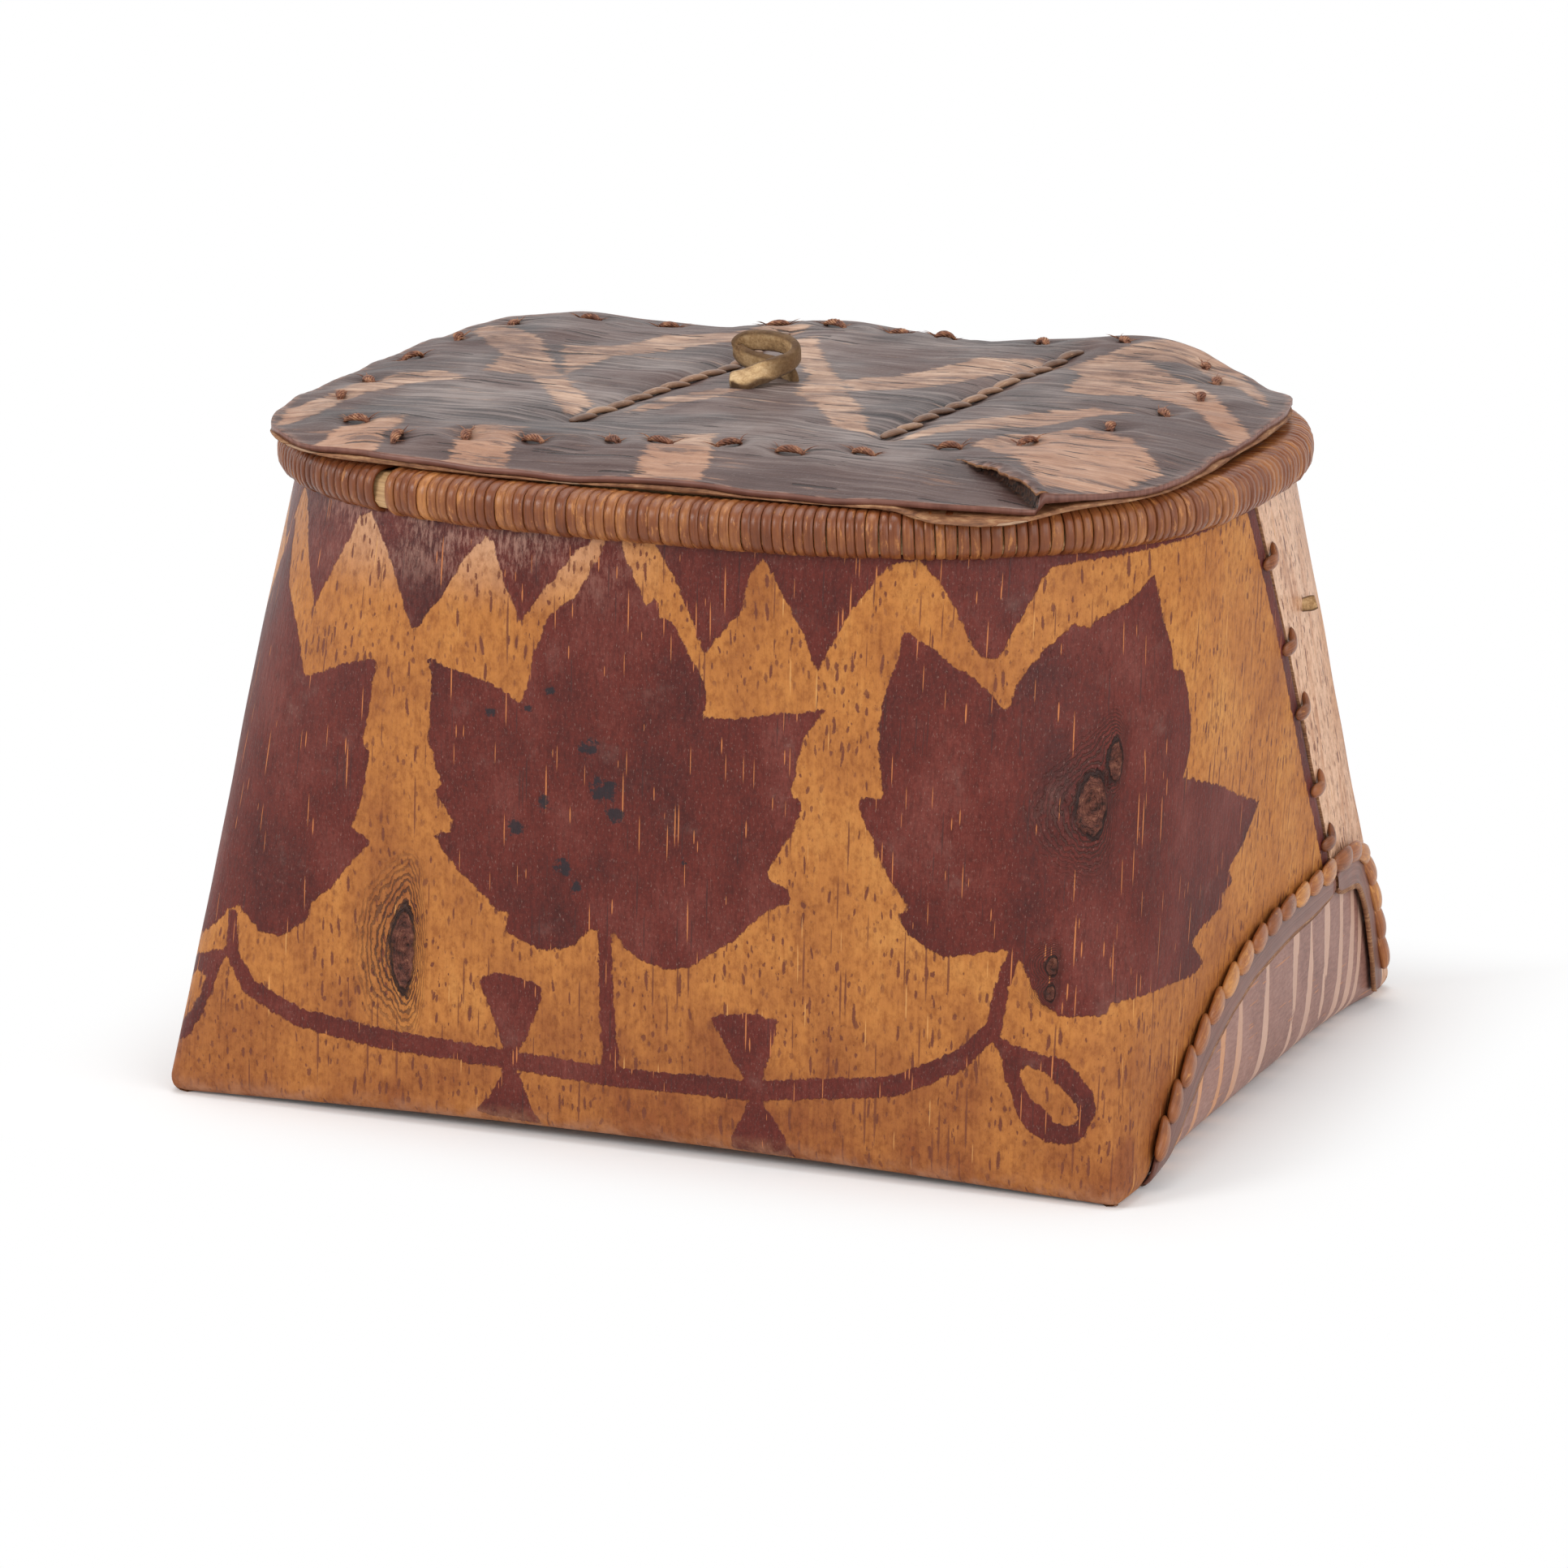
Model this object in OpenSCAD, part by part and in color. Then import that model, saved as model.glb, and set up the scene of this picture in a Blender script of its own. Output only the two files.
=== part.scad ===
/* [Bark body] */
// Length of the base along X
base_l = 320; // [280:1:360]
// Width of the base along Y
base_w = 266; // [240:1:300]
// How far the mouth stands in from the base at each end
mouth_in_x = 9; // [3:0.5:20]
// How far the mouth stands in from the base at front and back
mouth_in_y = 10; // [3:0.5:20]
// Height of the bark's top edge
wall_h = 200; // [160:1:240]
// Squareness of the mouth, where 2 is an ellipse
mouth_power = 2.6; // [2.3:0.1:3.2]
// Thickness of the bark sheet
bark_t = 2.2; // [1.6:0.1:3]
// Outward swell of the two ends at mid height
end_swell = 2; // [0:0.5:2.5]
// How far the fold under each end is rolled in at its middle
end_roll = 6; // [0:0.5:9]
// Height over which the fold is rolled
roll_h = 20; // [12:1:30]

/* [End tongues] */
// Height of the tongue folded up at each end
tongue_rise = 57; // [45:1:70]
// How far behind the middle the tongue is highest
tongue_peak = 64; // [40:1:75]
// Distance of the tongue's foot from the base corner
tongue_inset = 18; // [14:1:24]
// Fullness of the tongue's long front slope
front_slope = 3.2; // [2.6:0.1:4]
// Fullness of the tongue's short back slope
back_slope = 5; // [3.5:0.5:6]
// Width of the cut between tongue and wings
cut_gap = 0.8; // [0.5:0.1:1.2]

/* [End seams] */
// Where the seam between the wings starts at the mouth, behind the middle
seam_top = -6; // [-20:1:10]
// Width of the open slot between the wings
seam_slot = 2.6; // [1.5:0.1:4]
// Width of the bark strip behind the seam
strip_w = 24; // [16:1:32]
// Thickness of the bark strip behind the seam
strip_t = 1.6; // [1:0.1:2.2]
// Stitches across each seam
seam_stitches = 5; // [3:1:7]

/* [Edge bands] */
// Width of the bark band along the tongue's edge
band_w = 12; // [9:0.5:14]
// How far the band reaches over the wings
band_over = 2; // [1:0.5:3]
// Thickness of the bark band
band_t = 1.8; // [1.2:0.1:2.4]
// Gap between the front and back bands below the seam
band_gap = 3; // [2:0.5:8]
// Stitches along the front slope
front_stitches = 13; // [9:1:15]
// Stitches along the back slope
back_stitches = 7; // [5:1:8]
// Diameter of the split root in the stitches
stitch_d = 3; // [2:0.1:3.6]
// Length of a stitch along the band
stitch_l = 6.5; // [5:0.5:8]
// How far a stitch slants across the band
stitch_slant = 4.5; // [3:0.5:6]
// Length of a stitch across the seam
seam_stitch_l = 8; // [6:0.5:10]

/* [Rim] */
// Thickness of the wooden hoops
hoop_t = 5; // [3.5:0.1:6.5]
// Height of the wooden hoops
hoop_h = 10.5; // [8:0.5:14]
// Thickness of the root wound over the rim
root_t = 2; // [1.4:0.1:2.6]
// Turns of root round the rim
root_turns = 90; // [60:1:92]
// Gap between neighbouring turns
root_gap = 0.9; // [0.8:0.1:1.6]
// Angle round the rim at which the root starts and ends, leaving bare wood
root_start = 223; // [0:1:359]

/* [Lid] */
// How far the lid stands in from the mouth at each end
lid_in_x = 1; // [-3:0.5:6]
// How far the lid stands in from the mouth at front and back
lid_in_y = 4; // [-3:0.5:8]
// Squareness of the lid
lid_power = 4.2; // [2.6:0.1:5]
// Thickness of the lid's upper bark
lid_top_t = 1.8; // [1.2:0.1:2.4]
// Thickness of the lid's lower bark
lid_under_t = 1.6; // [1.2:0.1:2.2]
// How far the lower bark stays inside the upper one
lid_step = 1; // [0:0.5:3]
// Rise of the lid's back edge
lid_back_rise = 2.4; // [0:0.2:4]
// Height of the waves along the lid's back edge
lid_wave = 1.3; // [0:0.1:2]
// Distance between the waves
lid_wave_pitch = 98; // [80:1:120]
// How far a wave's top is to the left of the middle
lid_wave_shift = 40; // [0:1:90]
// Thickness of the hoop under the lid
lid_hoop_t = 4; // [3:0.1:5.5]
// Height of the hoop under the lid
lid_hoop_h = 10; // [6:0.5:14]
// Clearance of the lid's hoop inside the rim
lid_clear = 1.2; // [0.8:0.1:2.5]
// Ties that hold the lid's hoop
lid_ties_count = 30; // [20:1:34]
// Diameter of the ties
tie_d = 2.6; // [1.8:0.1:3.2]
// Length of a tie on the lid
tie_l = 7; // [5:0.5:9]
// Distance of each row of running stitches from the lid's middle
row_x = 48; // [36:1:60]
// Stitches in each row
row_stitches = 9; // [6:1:11]
// Length of each row
row_l = 138; // [100:1:150]
// Middle of each row behind the lid's middle
row_y = 20; // [0:1:26]

/* [Thong] */
// Thickness of the leather thong
thong_d = 4; // [3:0.1:4.6]
// Thong's root behind the lid's middle
thong_y = 21; // [5:1:30]
// Thong's root to the right of the lid's middle
thong_x = -9; // [-20:1:10]
// Radius of the knot under the lid
knot_r = 7; // [5:0.5:9]
// Height of the leather stub's tie on the right end
stub_z = 146; // [120:1:160]
// Length of the leather stub
stub_l = 9; // [6:0.5:14]

/* [Hidden] */
$fn = 16;

// Clearance between pieces that lie against each other, and under a stitch
fit = 0.4;
lie = 0.1;
// Closeness of the wall's straight lines at the base corners, and the corners' sharpness
corner_spread = 3;
corner_power = 4;
// Counts of the bark sheet's mesh: wall rows, region columns, wing columns, tongue columns and rows
rows = 5;
region_cols = 40;
front_cols = 13;
back_cols = 8;
tongue_cols = 16;
tongue_rows = 4;
// Columns round the hoops and the lid, and rings of the lid
hoop_cols = 80;
lid_cols = 64;
lid_rings = 5;
// Part of the tongue's edge that is cut free, where 1 reaches the feet
cut_reach = 0.85;
foot_y = base_w / 2 - tongue_inset;
mouth_l = base_l - 2 * mouth_in_x;
mouth_w = base_w - 2 * mouth_in_y;
lid_l = mouth_l - 2 * lid_in_x;
lid_w = mouth_w - 2 * lid_in_y;
golden = "#c58a3c";
rind = "#6b3326";
root_brown = "#8a5a33";
dark_bark = "#4f4038";
splint = "#c9a36a";
suede = "#a68a5c";

// Wall surface: straight lines from a squared base to a rounded mouth
function soft(x) = x / pow(1 + pow(abs(x), corner_power), 1 / corner_power);
function base_pt(a) =
    [base_l / 2 * soft(corner_spread * cos(a)), base_w / 2 * soft(corner_spread * sin(a))];
function oval(a, l, w, p) =
    pow(pow(abs(cos(a)) * 2 / l, p) + pow(abs(sin(a)) * 2 / w, p), -1 / p) * [cos(a), sin(a)];
function rolled(a, v) =
    end_roll * max(0, 1 - pow(base_pt(a).y / foot_y, 2)) * pow(max(0, 1 - v * wall_h / roll_h), 2);
function section_pt(a, v) =
    base_pt(a) * (1 - v) + oval(a, mouth_l, mouth_w, mouth_power) * v
    + [end_swell * pow(cos(a), 3) * 4 * v * (1 - v) - sign(cos(a)) * rolled(a, v), 0];
function outward(a, v) =
    let (d = section_pt(a + 0.5, v) - section_pt(a - 0.5, v))
    [d.y, -d.x] / norm(d);
function wall(a, z, n = 0) =
    let (q = section_pt(a, z / wall_h) + n * outward(a, z / wall_h))
    [q.x, q.y, z];

// Right end: the angle at which the wall has a given y and z, found by halving
function end_angle(y, z, lo = -44, hi = 44, step = 0) =
    let (mid = (lo + hi) / 2)
    step > 18 ? mid
    : section_pt(mid, z / wall_h).y < y ? end_angle(y, z, mid, hi, step + 1)
    : end_angle(y, z, lo, mid, step + 1);
function end_pt(q, n = 0) = wall(end_angle(q[0], q[1]), q[1], n);
function across(p) = [-p.x, p.y, p.z];

// Edge of the tongue as y and z, from the front foot at -1 over the peak at 0 to the back foot at 1
function edge_raw(s) =
    let (u = 1 - pow(1 - abs(s), 2))
    [s < 0 ? tongue_peak - u * (tongue_peak + foot_y) : tongue_peak + u * (foot_y - tongue_peak),
     tongue_rise * (1 - pow(u, s < 0 ? front_slope : back_slope))];
function edge_dir(s) =
    let (d = edge_raw(min(s + 0.02, 1)) - edge_raw(max(s - 0.02, -1)))
    d / norm(d);
function edge_pt(s, off = 0) =
    let (d = edge_dir(s))
    edge_raw(s) + off * [-d[1], d[0]];
function seam_y(z) =
    seam_top + (tongue_peak - seam_top) * (wall_h - z) / (wall_h - tongue_rise);
function mix(p, q, t) = p * (1 - t) + q * t;

// Even steps along the rim: running length against angle
arc_steps = 240;
arc_v = 0.97;
arc_table = [
    for (i = 0, s = 0; i <= arc_steps;
         s = s + norm(section_pt((i + 1) * 360 / arc_steps, arc_v)
                      - section_pt(i * 360 / arc_steps, arc_v)),
         i = i + 1)
        [s, i * 360 / arc_steps]
];
rim_length = arc_table[arc_steps][0];
function rim_angle(s) = lookup(s - rim_length * floor(s / rim_length), arc_table);
function rim_run(a) = lookup(a, [for (t = arc_table) [t[1], t[0]]]);

// A triangle list for a quad, and a closed solid from outer points, inner points, faces and edges
function quad(a, b, c, d) = [[a, c, b], [a, d, c]];
function flat1(lists) = [for (l = lists) each l];
module thick_sheet(outer, inner, faces, edges) {
    n = len(outer);
    polyhedron(
        concat(outer, inner),
        concat(
            faces,
            [for (f = faces) [f[2] + n, f[1] + n, f[0] + n]],
            flat1([for (e = edges) quad(e[1], e[0], e[0] + n, e[1] + n)])
        )
    );
}

// Outer and inner points of columns of end positions
function skin(q) = [end_pt(q), end_pt([q[0], max(q[1], bark_t)], -bark_t)];
function skin_left(q) = let (s = skin(q)) [across(s[0]), across(s[1])];
function ruling(a) = [
    for (j = [0:rows])
        let (z = wall_h * j / rows)
        [wall(a, z), wall(a, max(z, bark_t), -bark_t)]
];

// Columns of the right wings as y and z, from the tongue's edge up to the mouth
foot_front_a = end_angle(-foot_y, 0);
foot_back_a = end_angle(foot_y, 0);
mouth_front_y = section_pt(foot_front_a, 1).y;
mouth_back_y = section_pt(foot_back_a, 1).y;
function front_wing(i) =
    let (t = (i - 1) / (front_cols - 1),
         low = edge_pt(-cut_reach * (1 - t), cut_gap / 2) - [t == 1 ? seam_slot / 2 : 0, 0],
         top = [mix(mouth_front_y, seam_top - seam_slot / 2, i / front_cols), wall_h])
    [for (j = [0:rows]) mix(low, top, j / rows)];
function back_wing(i) =
    let (t = (i - 1) / (back_cols - 1),
         low = edge_pt(cut_reach * (1 - t), cut_gap / 2) + [t == 1 ? seam_slot / 2 : 0, 0],
         top = [mix(mouth_back_y, seam_top + seam_slot / 2, i / back_cols), wall_h])
    [for (j = [0:rows]) mix(low, top, j / rows)];
function tongue_col(k) =
    let (s = cut_reach * (2 * k / tongue_cols - 1),
         top = edge_pt(s, -cut_gap / 2),
         low = [k == 0 ? -foot_y : k == tongue_cols ? foot_y : edge_raw(s)[0], 0])
    [for (m = [0:tongue_rows]) mix(low, top, pow(m / tongue_rows, 2))];

// The whole body is one folded sheet: bottom, front and back walls with wings, two end tongues
module bark_sheet() {
    front = concat(
        [for (i = [front_cols:-1:1]) [for (q = front_wing(i)) skin_left(q)]],
        [for (k = [0:region_cols]) ruling(mix(-180 - foot_front_a, foot_front_a, k / region_cols))],
        [for (i = [1:front_cols]) [for (q = front_wing(i)) skin(q)]]
    );
    back = concat(
        [for (i = [back_cols:-1:1]) [for (q = back_wing(i)) skin(q)]],
        [for (k = [0:region_cols]) ruling(mix(foot_back_a, 180 - foot_back_a, k / region_cols))],
        [for (i = [1:back_cols]) [for (q = back_wing(i)) skin_left(q)]]
    );
    right = [for (k = [0:tongue_cols]) [for (q = tongue_col(k)) skin(q)]];
    left = [for (k = [tongue_cols:-1:0]) [for (q = tongue_col(k)) skin_left(q)]];
    middle = [[[[0, 0, 0], [0, 0, bark_t]]]];
    pairs = flat1(concat(front, back, right, left, middle));

    f_last = len(front) - 1;
    b_last = len(back) - 1;
    b_start = len(front) * (rows + 1);
    r_start = b_start + len(back) * (rows + 1);
    l_start = r_start + len(right) * (tongue_rows + 1);
    centre = l_start + len(left) * (tongue_rows + 1);
    function fv(c, j) = c * (rows + 1) + j;
    function bv(c, j) = b_start + c * (rows + 1) + j;
    function rv(k, m) =
        m > 0 || (k > 0 && k < tongue_cols) ? r_start + k * (tongue_rows + 1) + m
        : k == 0 ? fv(front_cols + region_cols, 0) : bv(back_cols, 0);
    function lv(k, m) =
        m > 0 || (k > 0 && k < tongue_cols) ? l_start + k * (tongue_rows + 1) + m
        : k == 0 ? bv(back_cols + region_cols, 0) : fv(front_cols, 0);
    base_loop = concat(
        [for (c = [front_cols:front_cols + region_cols]) fv(c, 0)],
        [for (k = [1:tongue_cols - 1]) rv(k, 0)],
        [for (c = [back_cols:back_cols + region_cols]) bv(c, 0)],
        [for (k = [1:tongue_cols - 1]) lv(k, 0)]
    );
    loop_n = len(base_loop);
    faces = flat1(concat(
        [for (c = [0:f_last - 1], j = [0:rows - 1])
            quad(fv(c, j), fv(c + 1, j), fv(c + 1, j + 1), fv(c, j + 1))],
        [for (c = [0:b_last - 1], j = [0:rows - 1])
            quad(bv(c, j), bv(c + 1, j), bv(c + 1, j + 1), bv(c, j + 1))],
        [for (k = [0:tongue_cols - 1], m = [0:tongue_rows - 1])
            quad(rv(k, m), rv(k + 1, m), rv(k + 1, m + 1), rv(k, m + 1))],
        [for (k = [0:tongue_cols - 1], m = [0:tongue_rows - 1])
            quad(lv(k, m), lv(k + 1, m), lv(k + 1, m + 1), lv(k, m + 1))],
        [[for (i = [0:loop_n - 1]) [centre, base_loop[i], base_loop[(i + 1) % loop_n]]]]
    ));
    edges = concat(
        [for (c = [0:f_last - 1]) [fv(c + 1, rows), fv(c, rows)]],
        [for (c = [0:b_last - 1]) [bv(c + 1, rows), bv(c, rows)]],
        [for (j = [0:rows - 1]) [fv(f_last, j), fv(f_last, j + 1)]],
        [for (j = [0:rows - 1]) [bv(b_last, j), bv(b_last, j + 1)]],
        [for (j = [0:rows - 1]) [fv(0, j + 1), fv(0, j)]],
        [for (j = [0:rows - 1]) [bv(0, j + 1), bv(0, j)]],
        [for (c = [0:f_last - 1]) if (c < front_cols || c >= front_cols + region_cols)
            [fv(c, 0), fv(c + 1, 0)]],
        [for (c = [0:b_last - 1]) if (c < back_cols || c >= back_cols + region_cols)
            [bv(c, 0), bv(c + 1, 0)]],
        [for (k = [0:tongue_cols - 1]) [rv(k + 1, tongue_rows), rv(k, tongue_rows)]],
        [for (k = [0:tongue_cols - 1]) [lv(k + 1, tongue_rows), lv(k, tongue_rows)]],
        [for (m = [0:tongue_rows - 1]) [rv(tongue_cols, m), rv(tongue_cols, m + 1)]],
        [for (m = [0:tongue_rows - 1]) [lv(tongue_cols, m), lv(tongue_cols, m + 1)]],
        [for (m = [0:tongue_rows - 1]) [rv(0, m + 1), rv(0, m)]],
        [for (m = [0:tongue_rows - 1]) [lv(0, m + 1), lv(0, m)]]
    );
    color(golden)
        thick_sheet([for (p = pairs) p[0]], [for (p = pairs) p[1]], faces, edges);
}

// A strip of bark laid along a line of end positions: pairs of edge positions, near and far heights
module end_strip(pairs, near, far) {
    n = len(pairs);
    outer = flat1([for (p = pairs) [end_pt(p[0], far), end_pt(p[1], far)]]);
    inner = flat1([for (p = pairs) [end_pt(p[0], near), end_pt(p[1], near)]]);
    faces = flat1([for (i = [0:n - 2]) quad(2 * i, 2 * i + 1, 2 * i + 3, 2 * i + 2)]);
    edges = concat(
        [[0, 1], [2 * n - 1, 2 * n - 2]],
        [for (i = [0:n - 2]) [2 * i + 1, 2 * i + 3]],
        [for (i = [0:n - 2]) [2 * i + 2, 2 * i]]
    );
    thick_sheet(outer, inner, faces, edges);
}

// Bark strip behind the slot, from below the tongue's edge up to the rim
strip_top = wall_h - hoop_h - 2 * fit - root_t - 2;
strip_low = tongue_rise - 8;
strip_steps = 8;
module seam_strip_right() {
    color(rind)
        end_strip(
            [for (i = [0:strip_steps])
                let (z = mix(strip_low, strip_top, i / strip_steps), y = seam_y(z))
                [[y - strip_w / 2, z], [y + strip_w / 2, z]]],
            -bark_t - fit - strip_t, -bark_t - fit
        );
}
module seam_strip_left() {
    mirror([1, 0, 0]) seam_strip_right();
}

// Bark bands over the cut along the tongue's edge, kept above the base
band_floor = 0.6;
band_steps = 16;
function lifted(q) = [q[0], max(q[1], band_floor)];
module edge_band(from, to) {
    color(rind)
        end_strip(
            [for (i = [0:band_steps])
                let (s = mix(from, to, i / band_steps))
                [lifted(edge_pt(s, band_over)), lifted(edge_pt(s, band_over - band_w))]],
            fit, fit + band_t
        );
}
function edge_share(y, run) = 1 - sqrt(1 - y / run);
front_end = -edge_share(band_gap / 2, tongue_peak + foot_y);
back_end = edge_share(band_gap / 2, foot_y - tongue_peak);
module front_band_right() {
    edge_band(-cut_reach, front_end);
}
module back_band_right() {
    edge_band(back_end, cut_reach);
}
module front_band_left() {
    mirror([1, 0, 0]) front_band_right();
}
module back_band_left() {
    mirror([1, 0, 0]) back_band_right();
}

// One stitch: a rounded bar on the surface whose two ends go down through the bark
module stitch(p, q, d, into, depth) {
    v = q - p;
    l = norm(v);
    r = d / 2;
    translate(p)
        rotate([0, acos(v.z / l), atan2(v.y, v.x)])
            rotate_extrude()
                polygon([
                    [0, -r], [0.5 * r, -0.85 * r], [0.85 * r, -0.5 * r], [r, 0],
                    [r, l], [0.85 * r, l + 0.5 * r], [0.5 * r, l + 0.85 * r], [0, l + r]
                ]);
    for (e = [p, q])
        translate(e)
            rotate([0, acos(into.z / norm(into)), atan2(into.y, into.x)])
                cylinder(d = 0.6 * d, h = depth);
}

// Even steps along one slope of the tongue's edge
edge_steps = 60;
function edge_lengths(from, to) = [
    for (i = 0, s = 0; i <= edge_steps;
         s = s + norm(edge_raw(mix(from, to, (i + 1) / edge_steps))
                      - edge_raw(mix(from, to, i / edge_steps))),
         i = i + 1)
        [s, mix(from, to, i / edge_steps)]
];
module edge_stitches(from, to, count) {
    table = edge_lengths(from, to);
    total = table[edge_steps][0];
    height = fit + band_t + stitch_d / 2 + lie;
    color(root_brown)
        for (i = [0:count - 1]) {
            run = total * (i + 0.5) / count;
            s = lookup(run, table);
            p = edge_pt(lookup(run - stitch_l / 2, table), band_over - 1 - stitch_slant);
            q = edge_pt(lookup(run + stitch_l / 2, table), band_over - 1);
            a = end_angle(edge_raw(s)[0], edge_raw(s)[1]);
            n = outward(a, edge_raw(s)[1] / wall_h);
            stitch(end_pt(p, height), end_pt(q, height), stitch_d, [-n.x, -n.y, 0], height + bark_t);
        }
}
stitch_reach = 0.78;
module front_stitches_right() {
    edge_stitches(-stitch_reach, front_end, front_stitches);
}
module back_stitches_right() {
    edge_stitches(back_end, stitch_reach, back_stitches);
}
module front_stitches_left() {
    mirror([1, 0, 0]) front_stitches_right();
}
module back_stitches_left() {
    mirror([1, 0, 0]) back_stitches_right();
}

// Stitches across the open slot, through both wings and the strip
module seam_stitches_right() {
    height = stitch_d / 2 + lie;
    low = tongue_rise + band_over + 8;
    color(root_brown)
        for (i = [0:seam_stitches - 1]) {
            z = mix(low, strip_top - 8, i / (seam_stitches - 1));
            y = seam_y(z);
            n = outward(end_angle(y, z), z / wall_h);
            stitch(
                end_pt([y - seam_stitch_l / 2, z], height), end_pt([y + seam_stitch_l / 2, z], height),
                stitch_d, [-n.x, -n.y, 0], height + bark_t + fit + strip_t
            );
        }
}
module seam_stitches_left() {
    mirror([1, 0, 0]) seam_stitches_right();
}

// A closed hoop along the wall, from a section of distances from the wall and heights
module rim_ring(section) {
    m = len(section);
    points = flat1([
        for (k = [0:hoop_cols - 1])
            let (a = rim_angle(rim_length * k / hoop_cols))
            [for (q = section) wall(a, q[1], q[0])]
    ]);
    faces = flat1([
        for (k = [0:hoop_cols - 1], i = [0:m - 1])
            let (k1 = (k + 1) % hoop_cols, i1 = (i + 1) % m)
            quad(k * m + i, k1 * m + i, k1 * m + i1, k * m + i1)
    ]);
    polyhedron(points, faces);
}

// Two hoops clamp the bark's top edge; their far edges are eased for the root
ease = 2.2;
hoop_low = wall_h - hoop_h;
module rim_hoop_outer() {
    near = fit;
    far = fit + hoop_t;
    color(splint)
        rim_ring([
            [near, hoop_low], [far - ease, hoop_low], [far, hoop_low + ease],
            [far, wall_h - ease], [far - ease, wall_h], [near, wall_h]
        ]);
}
module rim_hoop_inner() {
    near = -bark_t - fit;
    far = near - hoop_t;
    color(splint)
        rim_ring([
            [near, hoop_low], [near, wall_h], [far + ease, wall_h],
            [far, wall_h - ease], [far, hoop_low + ease], [far + ease, hoop_low]
        ]);
}

// Root wound round both hoops and through the bark below them: one unbroken flat strand
root_half = [hoop_t + bark_t / 2 + fit + fit + root_t / 2, hoop_h / 2 + fit + root_t / 2];
root_mid = [-bark_t / 2, wall_h - hoop_h / 2];
root_ease = ease + 0.6;
root_sides = 8;
root_pitch = rim_length / (root_turns + 0.5);
root_w = root_pitch - root_gap;
root_run = rim_run(root_start) + root_pitch / 2;
root_path = [
    for (g = [[1, 1, 0], [1, 1, 1], [-1, 1, 1], [-1, 1, 0], [-1, -1, 0], [-1, -1, 1], [1, -1, 1], [1, -1, 0]])
        [g[0] * (root_half[0] - g[2] * root_ease), g[1] * (root_half[1] - (1 - g[2]) * root_ease)]
];
function root_normal(i) =
    let (a = root_path[(i + 1) % root_sides] - root_path[i],
         b = root_path[i] - root_path[(i + root_sides - 1) % root_sides],
         n = [a[1], -a[0]] / norm(a) + [b[1], -b[0]] / norm(b))
    -n / norm(n);
root_normals = [for (i = [0:root_sides - 1]) root_normal(i)];
// Section of the strand: shares of its width along the rim and of its thickness
root_section = [[0.5, 0], [0.36, 0.5], [-0.36, 0.5], [-0.5, 0], [-0.36, -0.5], [0.36, -0.5]];
function root_pt(r, g) =
    let (i = r % root_sides,
         q = root_mid + root_path[i] + g[1] * root_t * root_normals[i] * 1.08,
         s = root_run + r * root_pitch / root_sides + g[0] * root_w)
    wall(rim_angle(s), q[1], q[0]);
root_rings = root_turns * root_sides;
module rim_lashing() {
    m = len(root_section);
    points = flat1([for (r = [0:root_rings]) [for (g = root_section) root_pt(r, g)]]);
    least = min([for (r = [0:root_rings - root_sides])
        norm(points[r * m] - points[(r + root_sides) * m + 3])]);
    echo(least_gap_between_root_turns = least);
    faces = concat(
        flat1([
            for (r = [0:root_rings - 1], i = [0:m - 1])
                let (i1 = (i + 1) % m)
                quad(r * m + i, r * m + i1, r * m + m + i1, r * m + m + i)
        ]),
        [for (i = [1:m - 2]) [0, i, i + 1]],
        [for (i = [1:m - 2]) root_rings * m * [1, 1, 1] + [0, i + 1, i]]
    );
    color(root_brown) polyhedron(points, faces);
}

// A cut end of leather tied through the right end's back wing
module thong_stub() {
    y = seam_y(stub_z) + strip_w;
    a = end_angle(y, stub_z);
    n = outward(a, stub_z / wall_h);
    from = wall(a, stub_z, -bark_t - 3);
    color(suede)
        translate(from)
            rotate([0, 90, atan2(n.y, n.x)])
                cylinder(d = thong_d, h = bark_t + 3 + stub_l);
}

// Lid: height of its lower face, lowest at the front edge, with waves along the back edge
lid_seat = wall_h + fit + root_t + fit;
function lid_low(p) =
    let (back = p.y / lid_w + 0.5)
    lid_seat + lid_back_rise * back
    + lid_wave * pow(max(back, 0), 2) * (1 + cos(360 * (p.x + lid_wave_shift) / lid_wave_pitch));
lid_under_top = lid_under_t;
lid_top_low = lid_under_top + fit;
lid_top_high = lid_top_low + lid_top_t;
function lid_pt(p, up) = [p.x, p.y, lid_low(p) + up];

module lid_layer(l, w, from, up) {
    outline = [for (k = [0:lid_cols - 1]) oval(k * 360 / lid_cols, l, w, lid_power)];
    plan = concat([[0, 0]], [for (j = [1:lid_rings], q = outline) q * j / lid_rings]);
    function at(j, k) = 1 + (j - 1) * lid_cols + k % lid_cols;
    faces = concat(
        [for (k = [0:lid_cols - 1]) [0, at(1, k + 1), at(1, k)]],
        flat1([for (j = [1:lid_rings - 1], k = [0:lid_cols - 1])
            quad(at(j, k), at(j + 1, k), at(j + 1, k + 1), at(j, k + 1))])
    );
    edges = [for (k = [0:lid_cols - 1]) [at(lid_rings, k), at(lid_rings, k + 1)]];
    thick_sheet([for (q = plan) lid_pt(q, up)], [for (q = plan) lid_pt(q, from)], faces, edges);
}
module lid_top_bark() {
    color(dark_bark) lid_layer(lid_l, lid_w, lid_top_low, lid_top_high);
}
module lid_under_bark() {
    color(golden) lid_layer(lid_l - 2 * lid_step, lid_w - 2 * lid_step, 0, lid_under_top);
}

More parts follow.
